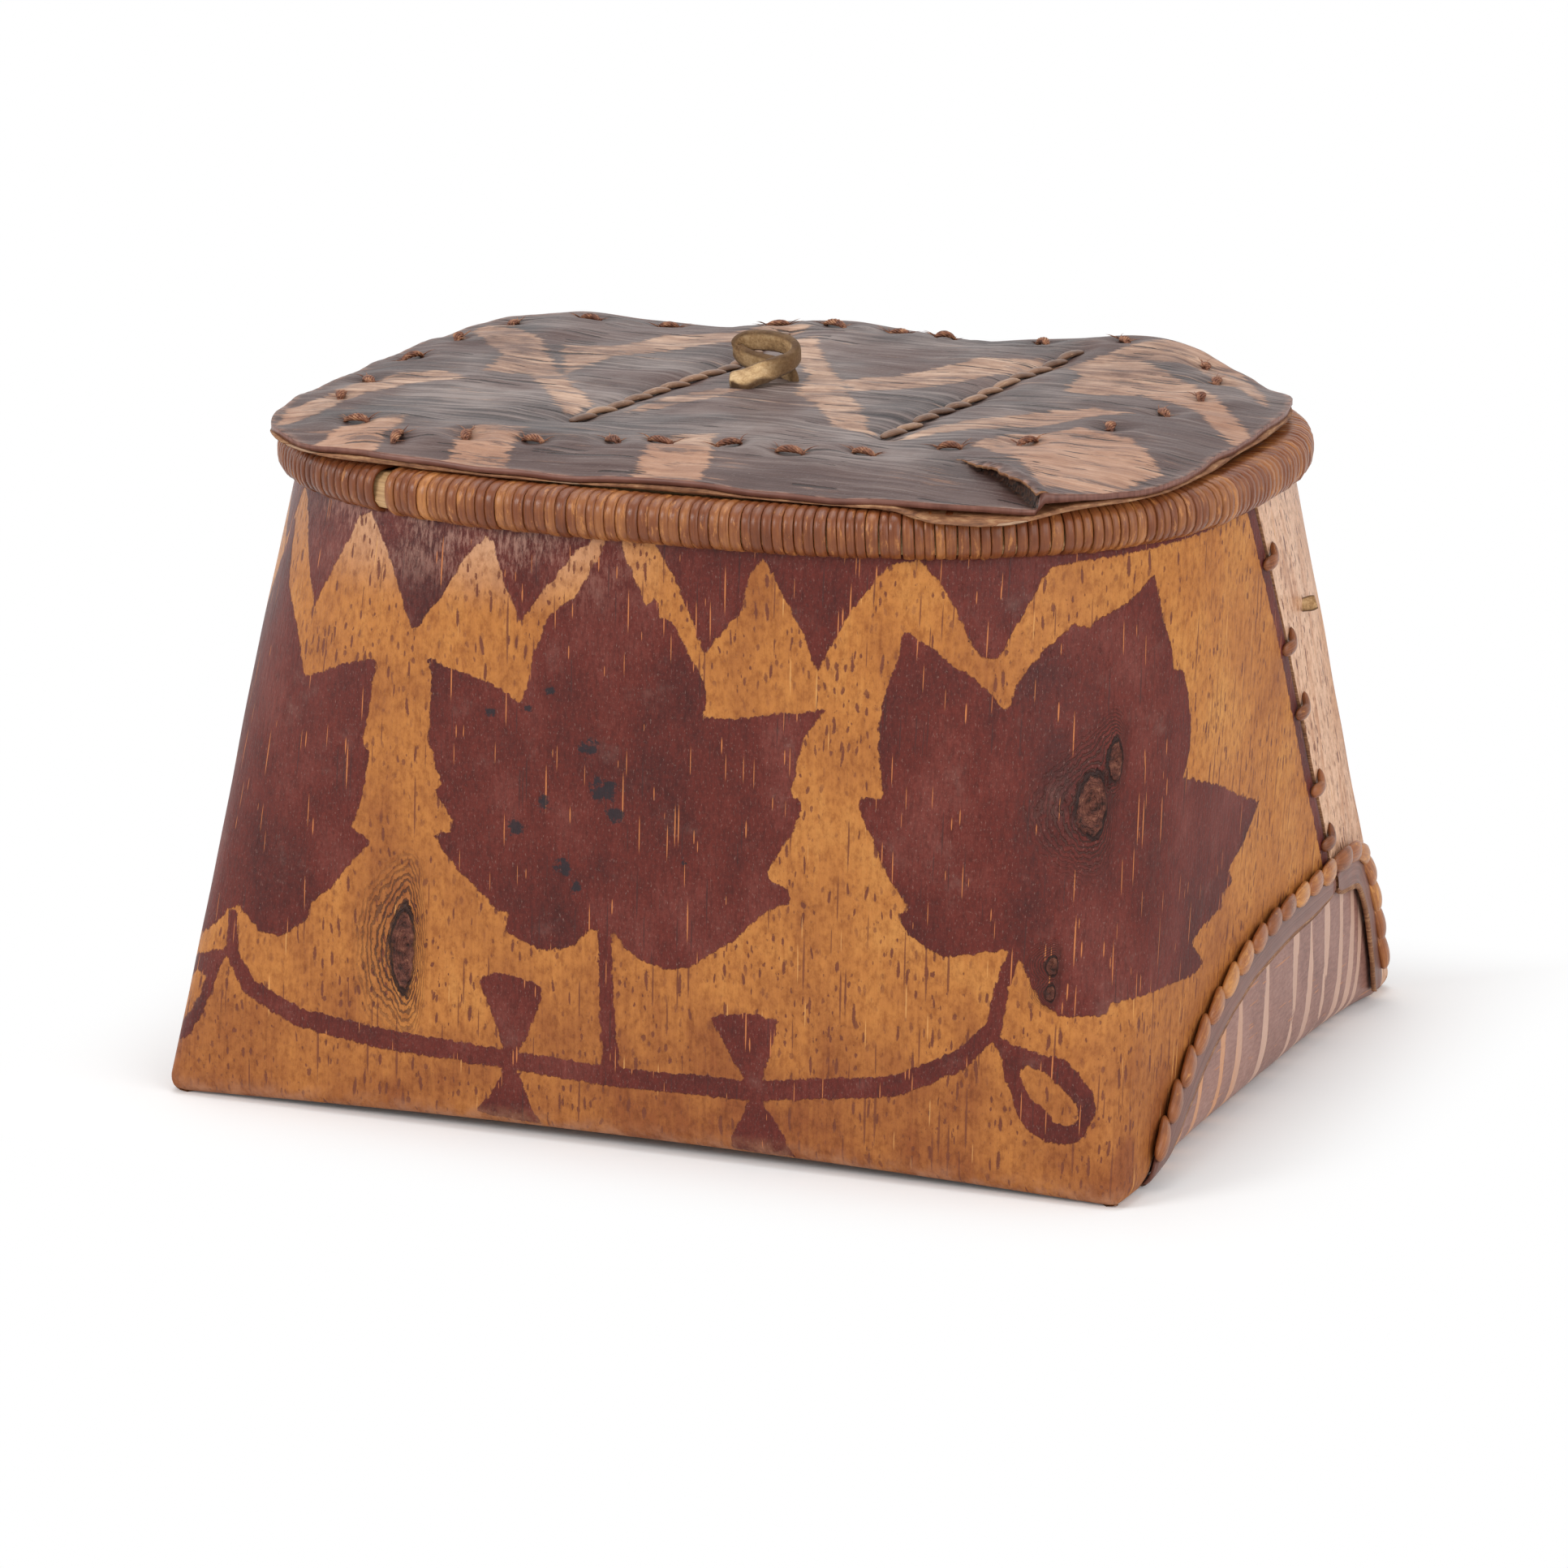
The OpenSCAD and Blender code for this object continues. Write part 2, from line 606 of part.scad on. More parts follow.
// Hoop under the lid that keeps it centred in the rim
lid_hoop_far = -bark_t - fit - hoop_t - fit - root_t - lid_clear;
function rim_plan(s, n) = let (p = wall(rim_angle(s), wall_h, n)) [p.x, p.y];
module lid_hoop() {
    near = lid_hoop_far;
    far = lid_hoop_far - lid_hoop_t;
    points = flat1([
        for (k = [0:hoop_cols - 1])
            let (s = rim_length * k / hoop_cols, p = rim_plan(s, near), q = rim_plan(s, far))
            [lid_pt(p, -fit - lid_hoop_h), lid_pt(p, -fit), lid_pt(q, -fit), lid_pt(q, -fit - lid_hoop_h)]
    ]);
    faces = flat1([
        for (k = [0:hoop_cols - 1], i = [0:3])
            let (k1 = (k + 1) % hoop_cols, i1 = (i + 1) % 4)
            quad(k * 4 + i, k1 * 4 + i, k1 * 4 + i1, k * 4 + i1)
    ]);
    color(splint) polyhedron(points, faces);
}

// Ties round the lid, each through both barks into the hoop
module lid_stitch(p, q, d, depth) {
    up = lid_top_high + d / 2 + lie;
    stitch(lid_pt(p, up), lid_pt(q, up), d, [0, 0, -1], depth);
}
module lid_ties() {
    depth = tie_d / 2 + lid_top_high + fit + lid_hoop_h / 3;
    half = tie_l / 2;
    n = lid_hoop_far - lid_hoop_t / 2;
    color(root_brown)
        for (i = [0:lid_ties_count - 1]) {
            s = rim_length * (i + 0.5) / lid_ties_count;
            lid_stitch(rim_plan(s - half, n), rim_plan(s + half, n), tie_d, depth);
        }
}

// A row of running stitches from front to back through both barks
module lid_row(x) {
    step = row_l / row_stitches;
    depth = tie_d / 2 + lid_top_high + 1;
    color(root_brown)
        for (i = [0:row_stitches - 1]) {
            y = row_y - row_l / 2 + i * step;
            lid_stitch([x, y], [x + 1, y + step - 2.4 * tie_d], tie_d, depth);
        }
}
module lid_row_left() {
    lid_row(-row_x);
}
module lid_row_right() {
    lid_row(row_x);
}

// Leather thong: a tail through the lid with its knot below, and a curled loop hinged on its root
root_p = [thong_x, thong_y];
root_clear = 0.5;
module thong_knot() {
    top = lid_pt(root_p, lid_top_high);
    low = lid_pt(root_p, -fit - knot_r);
    color(suede) {
        translate(low) cylinder(d = thong_d, h = top.z - low.z);
        translate(low) sphere(r = knot_r);
    }
}
root_pivot = lid_pt(root_p, lid_top_high + thong_d / 2 + root_clear);
// Points of the curl from the root, in lengths of the thong's thickness
thong_route = [
    [0, 0, 0], [-1.2, 0.4, 0.5], [-3, 1, 1], [-4.4, 1.5, 1.4], [-5.1, 1.9, 2.1],
    [-4.4, 2.1, 2.8], [-2.8, 1.9, 3], [-1.2, 1.4, 2.9], [-0.1, 0.5, 2.4],
    [-0.1, -0.8, 1.9], [-1.2, -1.9, 1.4], [-2.8, -2.6, 1], [-4.2, -2.9, 0.6], [-5.2, -3, 0.3]
];
thong_sides = 8;
thong_steps = 3;
// A smooth line through the points
function thong_at(i, t) =
    let (last = len(thong_route) - 1,
         p0 = thong_route[max(i - 1, 0)], p1 = thong_route[i],
         p2 = thong_route[min(i + 1, last)], p3 = thong_route[min(i + 2, last)])
    thong_d * 0.5 * (2 * p1 + (p2 - p0) * t + (2 * p0 - 5 * p1 + 4 * p2 - p3) * t * t
                     + (3 * p1 - p0 - 3 * p2 + p3) * t * t * t);
module lid_thong() {
    last = len(thong_route) - 1;
    line = concat(
        flat1([for (i = [0:last - 1]) [for (k = [0:thong_steps - 1]) thong_at(i, k / thong_steps)]]),
        [thong_d * thong_route[last]]
    );
    n = len(line);
    m = thong_sides;
    points = flat1([
        for (i = [0:n - 1])
            let (d = line[min(i + 1, n - 1)] - line[max(i - 1, 0)],
                 side = cross(d, [0.2, 1, 0.6]) / norm(cross(d, [0.2, 1, 0.6])),
                 up = cross(side, d) / norm(d))
            [for (k = [0:m - 1])
                line[i] + thong_d / 2 * (side * cos(k * 360 / m) + up * sin(k * 360 / m))]
    ]);
    faces = concat(
        flat1([for (i = [0:n - 2], k = [0:m - 1])
            let (k1 = (k + 1) % m)
            quad(i * m + k, i * m + m + k, i * m + m + k1, i * m + k1)]),
        [for (k = [1:m - 2]) [0, k + 1, k]],
        [for (k = [1:m - 2]) (n - 1) * m * [1, 1, 1] + [0, k, k + 1]]
    );
    color(suede)
        translate(root_pivot) {
            polyhedron(points, faces);
            rotate([90, 0, 0]) cylinder(d = thong_d, h = thong_d, center = true);
        }
}

bark_sheet();
seam_strip_right();
seam_strip_left();
front_band_right();
back_band_right();
front_band_left();
back_band_left();
front_stitches_right();
back_stitches_right();
front_stitches_left();
back_stitches_left();
seam_stitches_right();
seam_stitches_left();
rim_hoop_outer();
rim_hoop_inner();
rim_lashing();
thong_stub();
lid_top_bark();
lid_under_bark();
lid_hoop();
lid_ties();
lid_row_left();
lid_row_right();
thong_knot();
lid_thong();
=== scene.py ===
import bpy
import mathutils
import numpy as np
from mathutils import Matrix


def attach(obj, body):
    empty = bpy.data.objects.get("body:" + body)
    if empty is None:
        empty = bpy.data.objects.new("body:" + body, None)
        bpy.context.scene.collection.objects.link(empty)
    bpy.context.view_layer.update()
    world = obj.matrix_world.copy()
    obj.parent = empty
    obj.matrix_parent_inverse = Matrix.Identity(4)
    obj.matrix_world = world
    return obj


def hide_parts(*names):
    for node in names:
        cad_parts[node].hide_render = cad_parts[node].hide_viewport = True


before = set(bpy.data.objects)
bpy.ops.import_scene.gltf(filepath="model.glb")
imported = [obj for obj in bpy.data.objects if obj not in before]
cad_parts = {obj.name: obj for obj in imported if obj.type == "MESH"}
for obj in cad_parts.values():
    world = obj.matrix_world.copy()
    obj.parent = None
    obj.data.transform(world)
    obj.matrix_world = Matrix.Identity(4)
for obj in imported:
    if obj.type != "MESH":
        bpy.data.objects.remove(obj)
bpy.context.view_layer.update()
print("frame loaded:", len(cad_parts), "nodes")

mm = 0.001
rng = np.random.default_rng(11)

# the folded bark body, in millimetres
bark = {
    "baseLength": 320.0,
    "baseWidth": 266.0,
    "mouthLength": 302.0,
    "mouthWidth": 246.0,
    "height": 200.0,
    "mouthPower": 2.6,
    "cornerSpread": 3.0,
    "cornerPower": 4.0,
    "thick": 2.2,
    "endSwell": 2.0,
    "endRoll": 4.5,
    "rollHeight": 20.0,
    "foldRadius": 6.5,
    "endFoldRadius": 3.0,
    "arch": 3.0,
    "archHalf": 152.0,
    "archHeight": 40.0,
    "archFrom": 60.0,
    "archOver": 65.0,
    "panelColumns": 260,
    "wingColumns": 100,
    "rows": 120,
    "innerStep": 4,
}

# the tongue folded up at each end, and the open seam above it
tongue = {
    "rise": 57.0,
    "peak": 64.0,
    "footY": 115.0,
    "frontSlope": 3.2,
    "backSlope": 5.0,
    "cutGap": 0.8,
    "seamTop": -6.0,
    "slot": 2.6,
    "columns": 160,
    "rows": 48,
}


def unit(v):
    # directions: each vector over its own length
    return v / np.linalg.norm(v, axis=-1, keepdims=True)


def hill(x, at, wide):
    # bell curve: one at its middle, e to the minus square of the distance in shares of its reach
    return np.exp(-((x - at) / wide) ** 2)


def spot(x, y, place):
    # bell curve in two directions; place is middle and reach along x, then middle and reach along y
    atX, wideX, atY, wideY = place
    return np.exp(-((x - atX) / wideX) ** 2 - ((y - atY) / wideY) ** 2)


def runAlong(path):
    # running length at each point of a path
    return np.concatenate([[0], np.cumsum(np.linalg.norm(np.diff(path, axis=0), axis=1))])


# shape of the wall
def softClamp(x):
    # x over the fourth root of one plus its fourth power: nearly straight, then levels off at one
    p = bark["cornerPower"]
    return x / (1 + np.abs(x) ** p) ** (1 / p)


def basePoint(a):
    # squared outline of the base: clamped cosine and sine
    k = bark["cornerSpread"]
    return np.stack([bark["baseLength"] / 2 * softClamp(k * np.cos(a)),
                     bark["baseWidth"] / 2 * softClamp(k * np.sin(a))], -1)


def ovalPoint(a, length, width, power):
    # superellipse: radius along direction a
    c, s = np.cos(a), np.sin(a)
    r = ((np.abs(c) * 2 / length) ** power + (np.abs(s) * 2 / width) ** power) ** (-1 / power)
    return np.stack([r * c, r * s], -1)


def sectionPoint(a, z):
    # straight lines from the base outline to the mouth oval, a swell at the ends and the rolled fold
    v = z / bark["height"]
    base = basePoint(a)
    mouth = ovalPoint(a, bark["mouthLength"], bark["mouthWidth"], bark["mouthPower"])
    q = base * (1 - v)[..., None] + mouth * v[..., None]
    endShare = np.maximum(0, 1 - (base[..., 1] / tongue["footY"]) ** 4)
    roll = bark["endRoll"] * endShare * np.maximum(0, 1 - z / bark["rollHeight"]) ** 2
    q[..., 0] += bark["endSwell"] * np.cos(a) ** 3 * 4 * v * (1 - v) - np.sign(np.cos(a)) * roll
    return q


def wallPoint(a, z, n=0.0):
    # the section at height z, moved out by n, with the bottom fold rounded by a quarter circle
    a, z, n = np.broadcast_arrays(np.asarray(a, float), np.asarray(z, float), np.asarray(n, float))
    h = np.radians(0.5)
    d = sectionPoint(a + h, z) - sectionPoint(a - h, z)
    d = unit(d)
    endShare = np.maximum(0, 1 - (basePoint(a)[..., 1] / tongue["footY"]) ** 4)
    radius = bark["foldRadius"] + bark["endFoldRadius"] * endShare
    drop = np.clip(radius - z, 0, radius)
    inset = radius - np.sqrt(np.maximum(radius ** 2 - drop ** 2, 0))
    q = sectionPoint(a, z) + (n - inset)[..., None] * np.stack([d[..., 1], -d[..., 0]], -1)
    return np.concatenate([q, z[..., None]], -1)


def settled(points):
    # the front and back bottom folds arch up a little between the corners;
    # the arch fades up the wall and into the floor
    x, y, z = points[..., 0], points[..., 1], points[..., 2]
    share = np.maximum(0, 1 - (x / bark["archHalf"]) ** 2)
    outward = np.clip((np.abs(y) - bark["archFrom"]) / bark["archOver"], 0, 1)
    up = bark["arch"] * share * np.clip(1 - z / bark["archHeight"], 0, 1) ** 2 * outward ** 2
    return np.stack([x, y, z + up], -1)


def endAngle(y, z):
    # right end: the direction at which the wall has this y at height z, found by halving
    low = np.full(np.shape(y), np.radians(-44.0))
    high = -low
    for _ in range(24):
        mid = (low + high) / 2
        under = sectionPoint(mid, z)[..., 1] < y
        low = np.where(under, mid, low)
        high = np.where(under, high, mid)
    return (low + high) / 2


def endPoint(y, z, n=0.0):
    # right end: the wall's point with this y at height z, moved out by n
    y, z, n = np.broadcast_arrays(np.asarray(y, float), np.asarray(z, float), np.asarray(n, float))
    return wallPoint(endAngle(y, z), z, n)


def edgeLine(s, off=0.0):
    # tongue's edge as y and z: front foot at -1, peak at 0, back foot at 1, moved off to the wing's side
    s, off = np.broadcast_arrays(np.asarray(s, float), np.asarray(off, float))

    def raw(t):
        u = 1 - (1 - np.abs(t)) ** 2
        span = np.where(t < 0, tongue["peak"] + tongue["footY"], tongue["footY"] - tongue["peak"])
        y = tongue["peak"] + np.sign(t) * u * span
        z = tongue["rise"] * (1 - u ** np.where(t < 0, tongue["frontSlope"], tongue["backSlope"]))
        return np.stack([y, z], -1)

    d = raw(np.minimum(s + 0.02, 1)) - raw(np.maximum(s - 0.02, -1))
    d = unit(d)
    return raw(s) + off[..., None] * np.stack([-d[..., 1], d[..., 0]], -1)


def seamLine(z):
    # the seam leans from the mouth to the tongue's peak
    share = (bark["height"] - z) / (bark["height"] - tongue["rise"])
    return tongue["seamTop"] + (tongue["peak"] - tongue["seamTop"]) * share


# running length round the wall from the front middle, as a table over direction and height
runAngles = np.linspace(-1.5 * np.pi, 0.5 * np.pi, 1441)
runHeights = np.linspace(0, bark["height"], 41)
runTable = sectionPoint(*np.meshgrid(runAngles, runHeights, indexing="ij"))
runTable = np.linalg.norm(np.diff(runTable, axis=0), axis=-1)
runTable = np.vstack([np.zeros((1, len(runHeights))), np.cumsum(runTable, 0)])
runTable -= runTable[np.argmin(np.abs(runAngles + np.pi / 2))]


def wallRun(a, z):
    # two-way linear reading of the table
    i = np.clip((a - runAngles[0]) / (runAngles[1] - runAngles[0]), 0, len(runAngles) - 1.001)
    j = np.clip(z / (runHeights[1] - runHeights[0]), 0, len(runHeights) - 1.001)
    i0, j0 = i.astype(int), j.astype(int)
    fi, fj = i - i0, j - j0
    near = runTable[i0, j0] * (1 - fj) + runTable[i0, j0 + 1] * fj
    far = runTable[i0 + 1, j0] * (1 - fj) + runTable[i0 + 1, j0 + 1] * fj
    return near * (1 - fi) + far * fi


def ripple(x, y, seed, waves=6, longest=90.0):
    # sum of a few slow sine waves in seeded directions, from -1 to 1
    own = np.random.default_rng(seed)
    total = np.zeros(np.shape(x))
    for k in range(waves):
        length = longest / (1 + 0.7 * k)
        turn, phase = own.uniform(0, 2 * np.pi, 2)
        run = x * np.cos(turn) + y * np.sin(turn)
        total = total + np.sin(2 * np.pi * run / length + phase) / (1 + 0.5 * k)
    return total / 3


def smoothStep(x, low, high):
    # from zero at low to one at high, three times the square less twice the cube
    t = np.clip((x - low) / (high - low), 0, 1)
    return t * t * (3 - 2 * t)


# meshes
def gridQuads(nu, nv, closeU=False, closeV=False, start=0, flip=False):
    # quads of a grid whose point (i, j) is number i * nv + j
    i = np.arange(nu if closeU else nu - 1)[:, None]
    j = np.arange(nv if closeV else nv - 1)[None, :]
    i1, j1 = (i + 1) % nu, (j + 1) % nv
    corners = np.broadcast_arrays(i * nv + j, i1 * nv + j, i1 * nv + j1, i * nv + j1)
    quads = np.stack(corners, -1).reshape(-1, 4) + start
    return quads[:, ::-1] if flip else quads


def addPiece(name, points, faceSets, body, materials, node=None, values=None, uv=None, mirror=False):
    # points in millimetres; faceSets is a list of (faces with one corner count, material number)
    mesh = bpy.data.meshes.new(name)
    points = np.asarray(points, np.float64).reshape(-1, 3) * mm
    if mirror:
        points[:, 0] *= -1
        faceSets = [(f[:, ::-1], m) for f, m in faceSets]
    mesh.vertices.add(len(points))
    mesh.vertices.foreach_set("co", points.astype(np.float32).ravel())
    loops = np.concatenate([f.ravel() for f, m in faceSets]).astype(np.int32)
    sizes = np.concatenate([np.full(len(f), f.shape[1]) for f, m in faceSets]).astype(np.int32)
    marks = np.concatenate([np.full(len(f), m) for f, m in faceSets]).astype(np.int32)
    mesh.loops.add(len(loops))
    mesh.loops.foreach_set("vertex_index", loops)
    mesh.polygons.add(len(sizes))
    mesh.polygons.foreach_set("loop_start", np.concatenate([[0], np.cumsum(sizes)[:-1]]).astype(np.int32))
    mesh.polygons.foreach_set("material_index", marks)
    for key, value in (values or {}).items():
        layer = mesh.attributes.new(key, "FLOAT", "POINT")
        layer.data.foreach_set("value", np.asarray(value, np.float32).ravel())
    if uv is not None:
        layer = mesh.uv_layers.new(name="sheet")
        layer.uv.foreach_set("vector", (np.asarray(uv).reshape(-1, 2)[loops] * mm).astype(np.float32).ravel())
    mesh.update(calc_edges=True)
    mesh.validate()
    mesh.shade_smooth()
    piece = bpy.data.objects.new(name, mesh)
    bpy.context.scene.collection.objects.link(piece)
    for m in materials:
        mesh.materials.append(m)
    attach(piece, body)
    if node:
        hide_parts(node)
    print("made", name, len(points), "points")


def shellFaces(nu, nv, step):
    # outer grid, a coarser inner grid turned round, and four sides that join them
    outer = gridQuads(nu, nv)
    mu, mv = (nu - 1) // step + 1, (nv - 1) // step + 1
    start = nu * nv
    inner = gridQuads(mu, mv, start=start, flip=True)
    k = np.arange(step + 1)
    i = np.arange(mu - 1)[:, None]
    j = np.arange(mv - 1)[:, None]
    bottom = np.hstack([(start + i * mv), start + (i + 1) * mv, (i * step + k[::-1]) * nv])
    top = np.hstack([start + (i + 1) * mv + mv - 1, start + i * mv + mv - 1, (i * step + k) * nv + nv - 1])
    first = np.hstack([start + j + 1, start + j, j * step + k])
    last = np.hstack([start + (mu - 1) * mv + j, start + (mu - 1) * mv + j + 1,
                      (nu - 1) * nv + j * step + k[::-1]])
    return outer, inner, [bottom, top, first, last]


def shellPiece(name, outside, inside, step, body, materials, node, values, uv=None, mirror=False,
               marks=(0, 1, 2)):
    # a sheet with two faces; values and uv belong to the outer grid, and the inner grid takes every step-th;
    # marks are the materials of the outer face, the inner face and the sides
    def both(value):
        return np.concatenate([value.ravel(), value[::step, ::step].ravel()])

    outer, inner, sides = shellFaces(*outside.shape[:2], step)
    faces = [(outer, marks[0]), (inner, marks[1])] + [(f, marks[2]) for f in sides]
    points = np.vstack([outside.reshape(-1, 3), inside.reshape(-1, 3)])
    addPiece(name, points, faces, body, materials, node, {key: both(values[key]) for key in values},
             np.stack([both(part) for part in uv], -1) if uv else None, mirror)


def ring(sides):
    # angles of a section's corners, in equal steps
    return np.arange(sides) * 2 * np.pi / sides


def oblong(t, power):
    # a circle squared off by its power: how far across and up it is at angle t
    c, s = np.cos(t), np.sin(t)
    shape = (np.abs(c) ** power + np.abs(s) ** power) ** (-1 / power)
    return c * shape, s * shape


def swept(path, side, up, halfWide, halfHigh, section):
    # a section carried along a path, with its half width along side and its half height along up
    across, upward = section
    return (path[:, None] + (halfWide[:, None] * across)[..., None] * side[:, None]
            + (halfHigh[:, None] * upward)[..., None] * up[:, None])


def tubePoints(path, across, upward, sides, squash=2.0, hint=(0, 0, 1)):
    # a rounded section carried along a path: half width and half height at each point
    d = unit(np.gradient(path, axis=0))
    side = unit(np.cross(d, np.asarray(hint, float)))
    return swept(path, side, np.cross(side, d), across, upward, oblong(ring(sides), squash))


def aroundBy(sides):
    # number of sides from a strand's seam, counted the shorter way
    return np.minimum(np.arange(sides), sides - np.arange(sides))


def closedTubes(tubes):
    # many tubes of the same counts in one mesh, each closed with a cap at both ends
    tubes = np.asarray(tubes)
    count, n, m = tubes.shape[:3]
    one = gridQuads(n, m, closeV=True)
    offset = (np.arange(count) * n * m)[:, None, None]
    quads = (one[None] + offset).reshape(-1, 4)
    head = np.arange(m)[None, :] + offset[:, 0]
    tail = (np.arange(m)[::-1] + (n - 1) * m)[None, :] + offset[:, 0]
    return tubes.reshape(-1, 3), quads, np.vstack([head, tail])


def smoothPath(points, steps):
    # a smooth line through the points, each stretch a cubic through its neighbours
    p = np.asarray(points, float)
    p = np.vstack([2 * p[0] - p[1], p, 2 * p[-1] - p[-2]])
    t = np.arange(steps)[:, None] / steps
    out = [0.5 * (2 * b + (c - a) * t + (2 * a - 5 * b + 4 * c - d) * t ** 2
                  + (3 * b - a - 3 * c + d) * t ** 3)
           for a, b, c, d in zip(p[:-3], p[1:-2], p[2:-1], p[3:])]
    return np.vstack(out + [p[-2:-1]])


def insideBy(px, py, outline):
    # signed distance to a closed outline, positive inside
    q = np.asarray(outline, float)
    e = np.roll(q, -1, 0) - q
    best = np.full(np.shape(px), 1e9)
    odd = np.zeros(np.shape(px), bool)
    for (x0, y0), (ex, ey) in zip(q, e):
        wx, wy = px - x0, py - y0
        t = np.clip((wx * ex + wy * ey) / (ex * ex + ey * ey + 1e-9), 0, 1)
        best = np.minimum(best, (wx - t * ex) ** 2 + (wy - t * ey) ** 2)
        crosses = (wy >= 0) != (wy - ey >= 0)
        odd ^= crosses & (wx < ex * wy / (ey if ey else 1e-9))
    return np.where(odd, 1, -1) * np.sqrt(best)


def alongBy(px, py, line, widths):
    # signed distance to a band along a line whose half width changes from point to point
    q = np.asarray(line, float)
    best = np.full(np.shape(px), -1e9)
    for (x0, y0), (x1, y1), w0, w1 in zip(q[:-1], q[1:], widths[:-1], widths[1:]):
        ex, ey = x1 - x0, y1 - y0
        wx, wy = px - x0, py - y0
        t = np.clip((wx * ex + wy * ey) / (ex * ex + ey * ey), 0, 1)
        best = np.maximum(best, w0 + (w1 - w0) * t - np.hypot(wx - t * ex, wy - t * ey))
    return best


# finishes: each is worked out from nodes, with the sheet's own measures in metres
class Value:
    # an output of a finish's nodes, with which sums and products can be written
    def __init__(self, tree, socket):
        self.tree = tree
        self.socket = socket

    def __add__(self, other):
        return calc("ADD", self, other)

    def __sub__(self, other):
        return calc("SUBTRACT", self, other)

    def __mul__(self, other):
        return calc("MULTIPLY", self, other)


def newNode(tree, kind, **settings):
    own = tree.nodes.new("ShaderNode" + kind)
    for key, value in settings.items():
        setattr(own, key, value)
    return own


def feed(socket, value):
    if isinstance(value, Value):
        value.tree.links.new(value.socket, socket)
    elif value is not None:
        socket.default_value = value


def newFinish(name, roughness, specular=0.5):
    material = bpy.data.materials.new(name)
    material.use_nodes = True
    shader = material.node_tree.nodes["Principled BSDF"]
    shader.inputs["Roughness"].default_value = roughness
    shader.inputs["Specular IOR Level"].default_value = specular
    return material, material.node_tree, shader


def sheetPlace(tree):
    return Value(tree, newNode(tree, "UVMap", uv_map="sheet").outputs["UV"])


def objectPlace(tree):
    return Value(tree, newNode(tree, "TexCoord").outputs["Object"])


def pointValue(tree, name):
    return Value(tree, newNode(tree, "Attribute", attribute_name=name).outputs["Fac"])


def calc(how, a, b=None, clamp=False):
    own = newNode(a.tree, "Math", operation=how, use_clamp=clamp)
    feed(own.inputs[0], a)
    feed(own.inputs[1], b)
    return Value(a.tree, own.outputs[0])


def most(first, *others):
    for other in others:
        first = calc("MAXIMUM", first, other)
    return first


def capped(a, b):
    return calc("MULTIPLY", a, b, clamp=True)


def stretched(place, sx, sy, sz=1.0, shift=(0, 0)):
    own = newNode(place.tree, "Mapping")
    own.inputs["Scale"].default_value = (sx, sy, sz)
    own.inputs["Location"].default_value = (*shift, 0)
    feed(own.inputs["Vector"], place)
    return Value(place.tree, own.outputs[0])


def grain(place, scale, detail=3.0, rough=0.55, shift=(0, 0), warp=0.0):
    # noise at one scale, or stretched by a scale for each direction
    if isinstance(scale, tuple):
        place = stretched(place, *scale, shift=shift)
        scale = 1.0
    own = newNode(place.tree, "TexNoise")
    feed(own.inputs["Vector"], place)
    for key, value in (("Scale", scale), ("Detail", detail), ("Roughness", rough), ("Distortion", warp)):
        own.inputs[key].default_value = value
    return Value(place.tree, own.outputs["Fac"])


def between(value, low, high, toLow=0.0, toHigh=1.0, smooth=True):
    own = newNode(value.tree, "MapRange", interpolation_type="SMOOTHSTEP" if smooth else "LINEAR")
    feed(own.inputs["Value"], value)
    for key, number in (("From Min", low), ("From Max", high), ("To Min", toLow), ("To Max", toHigh)):
        own.inputs[key].default_value = number
    return Value(value.tree, own.outputs[0])


def tints(value, *stops):
    own = newNode(value.tree, "ValToRGB")
    feed(own.inputs[0], value)
    ramp = own.color_ramp
    while len(ramp.elements) < len(stops):
        ramp.elements.new(0.5)
    for element, (place, colour) in zip(ramp.elements, stops):
        element.position = place
        element.color = (*colour, 1)
    return Value(value.tree, own.outputs[0])


def blended(share, first, second, how="MIX"):
    tree = next(v.tree for v in (share, first, second) if isinstance(v, Value))
    own = newNode(tree, "Mix", data_type="RGBA", blend_type=how)
    feed(own.inputs[0], share)
    for socket, value in ((own.inputs[6], first), (own.inputs[7], second)):
        feed(socket, (*value, 1) if isinstance(value, tuple) else value)
    return Value(tree, own.outputs[2])


def slits(place, halfWide, halfLong, share, shift, wobble=0.0, ragged=0.0):
    # scattered spindle marks: cells five half-sizes wide and long, one mark in a share of the cells
    tree = place.tree
    cell = stretched(place, 0.2 / (halfWide * mm), 0.2 / (halfLong * mm), shift=(shift, shift * 0.7))
    if wobble:
        bent = newNode(tree, "TexNoise")
        feed(bent.inputs["Vector"], stretched(place, 160, 60, shift=(shift, 0)))
        bent.inputs["Scale"].default_value = 1.0
        push = newNode(tree, "VectorMath", operation="SCALE")
        push.inputs["Scale"].default_value = wobble
        feed(push.inputs[0], Value(tree, bent.outputs["Color"]))
        moved = newNode(tree, "VectorMath", operation="ADD")
        feed(moved.inputs[0], cell)
        feed(moved.inputs[1], Value(tree, push.outputs[0]))
        cell = Value(tree, moved.outputs[0])
    marks = newNode(tree, "TexVoronoi", voronoi_dimensions="2D")
    feed(marks.inputs["Vector"], cell)
    marks.inputs["Scale"].default_value = 1.0
    chance = newNode(tree, "SeparateColor")
    feed(chance.inputs[0], Value(tree, marks.outputs["Color"]))
    chosen = calc("LESS_THAN", Value(tree, chance.outputs[0]), share)
    size = between(Value(tree, chance.outputs[1]), 0.0, 1.0, 0.09, 0.26, smooth=False)
    near = calc("DIVIDE", Value(tree, marks.outputs["Distance"]), size)
    if ragged:
        near = near + (grain(place, 1500, 3, 0.7) - 0.5) * ragged
    return between(near, 1.0, 0.6) * chosen


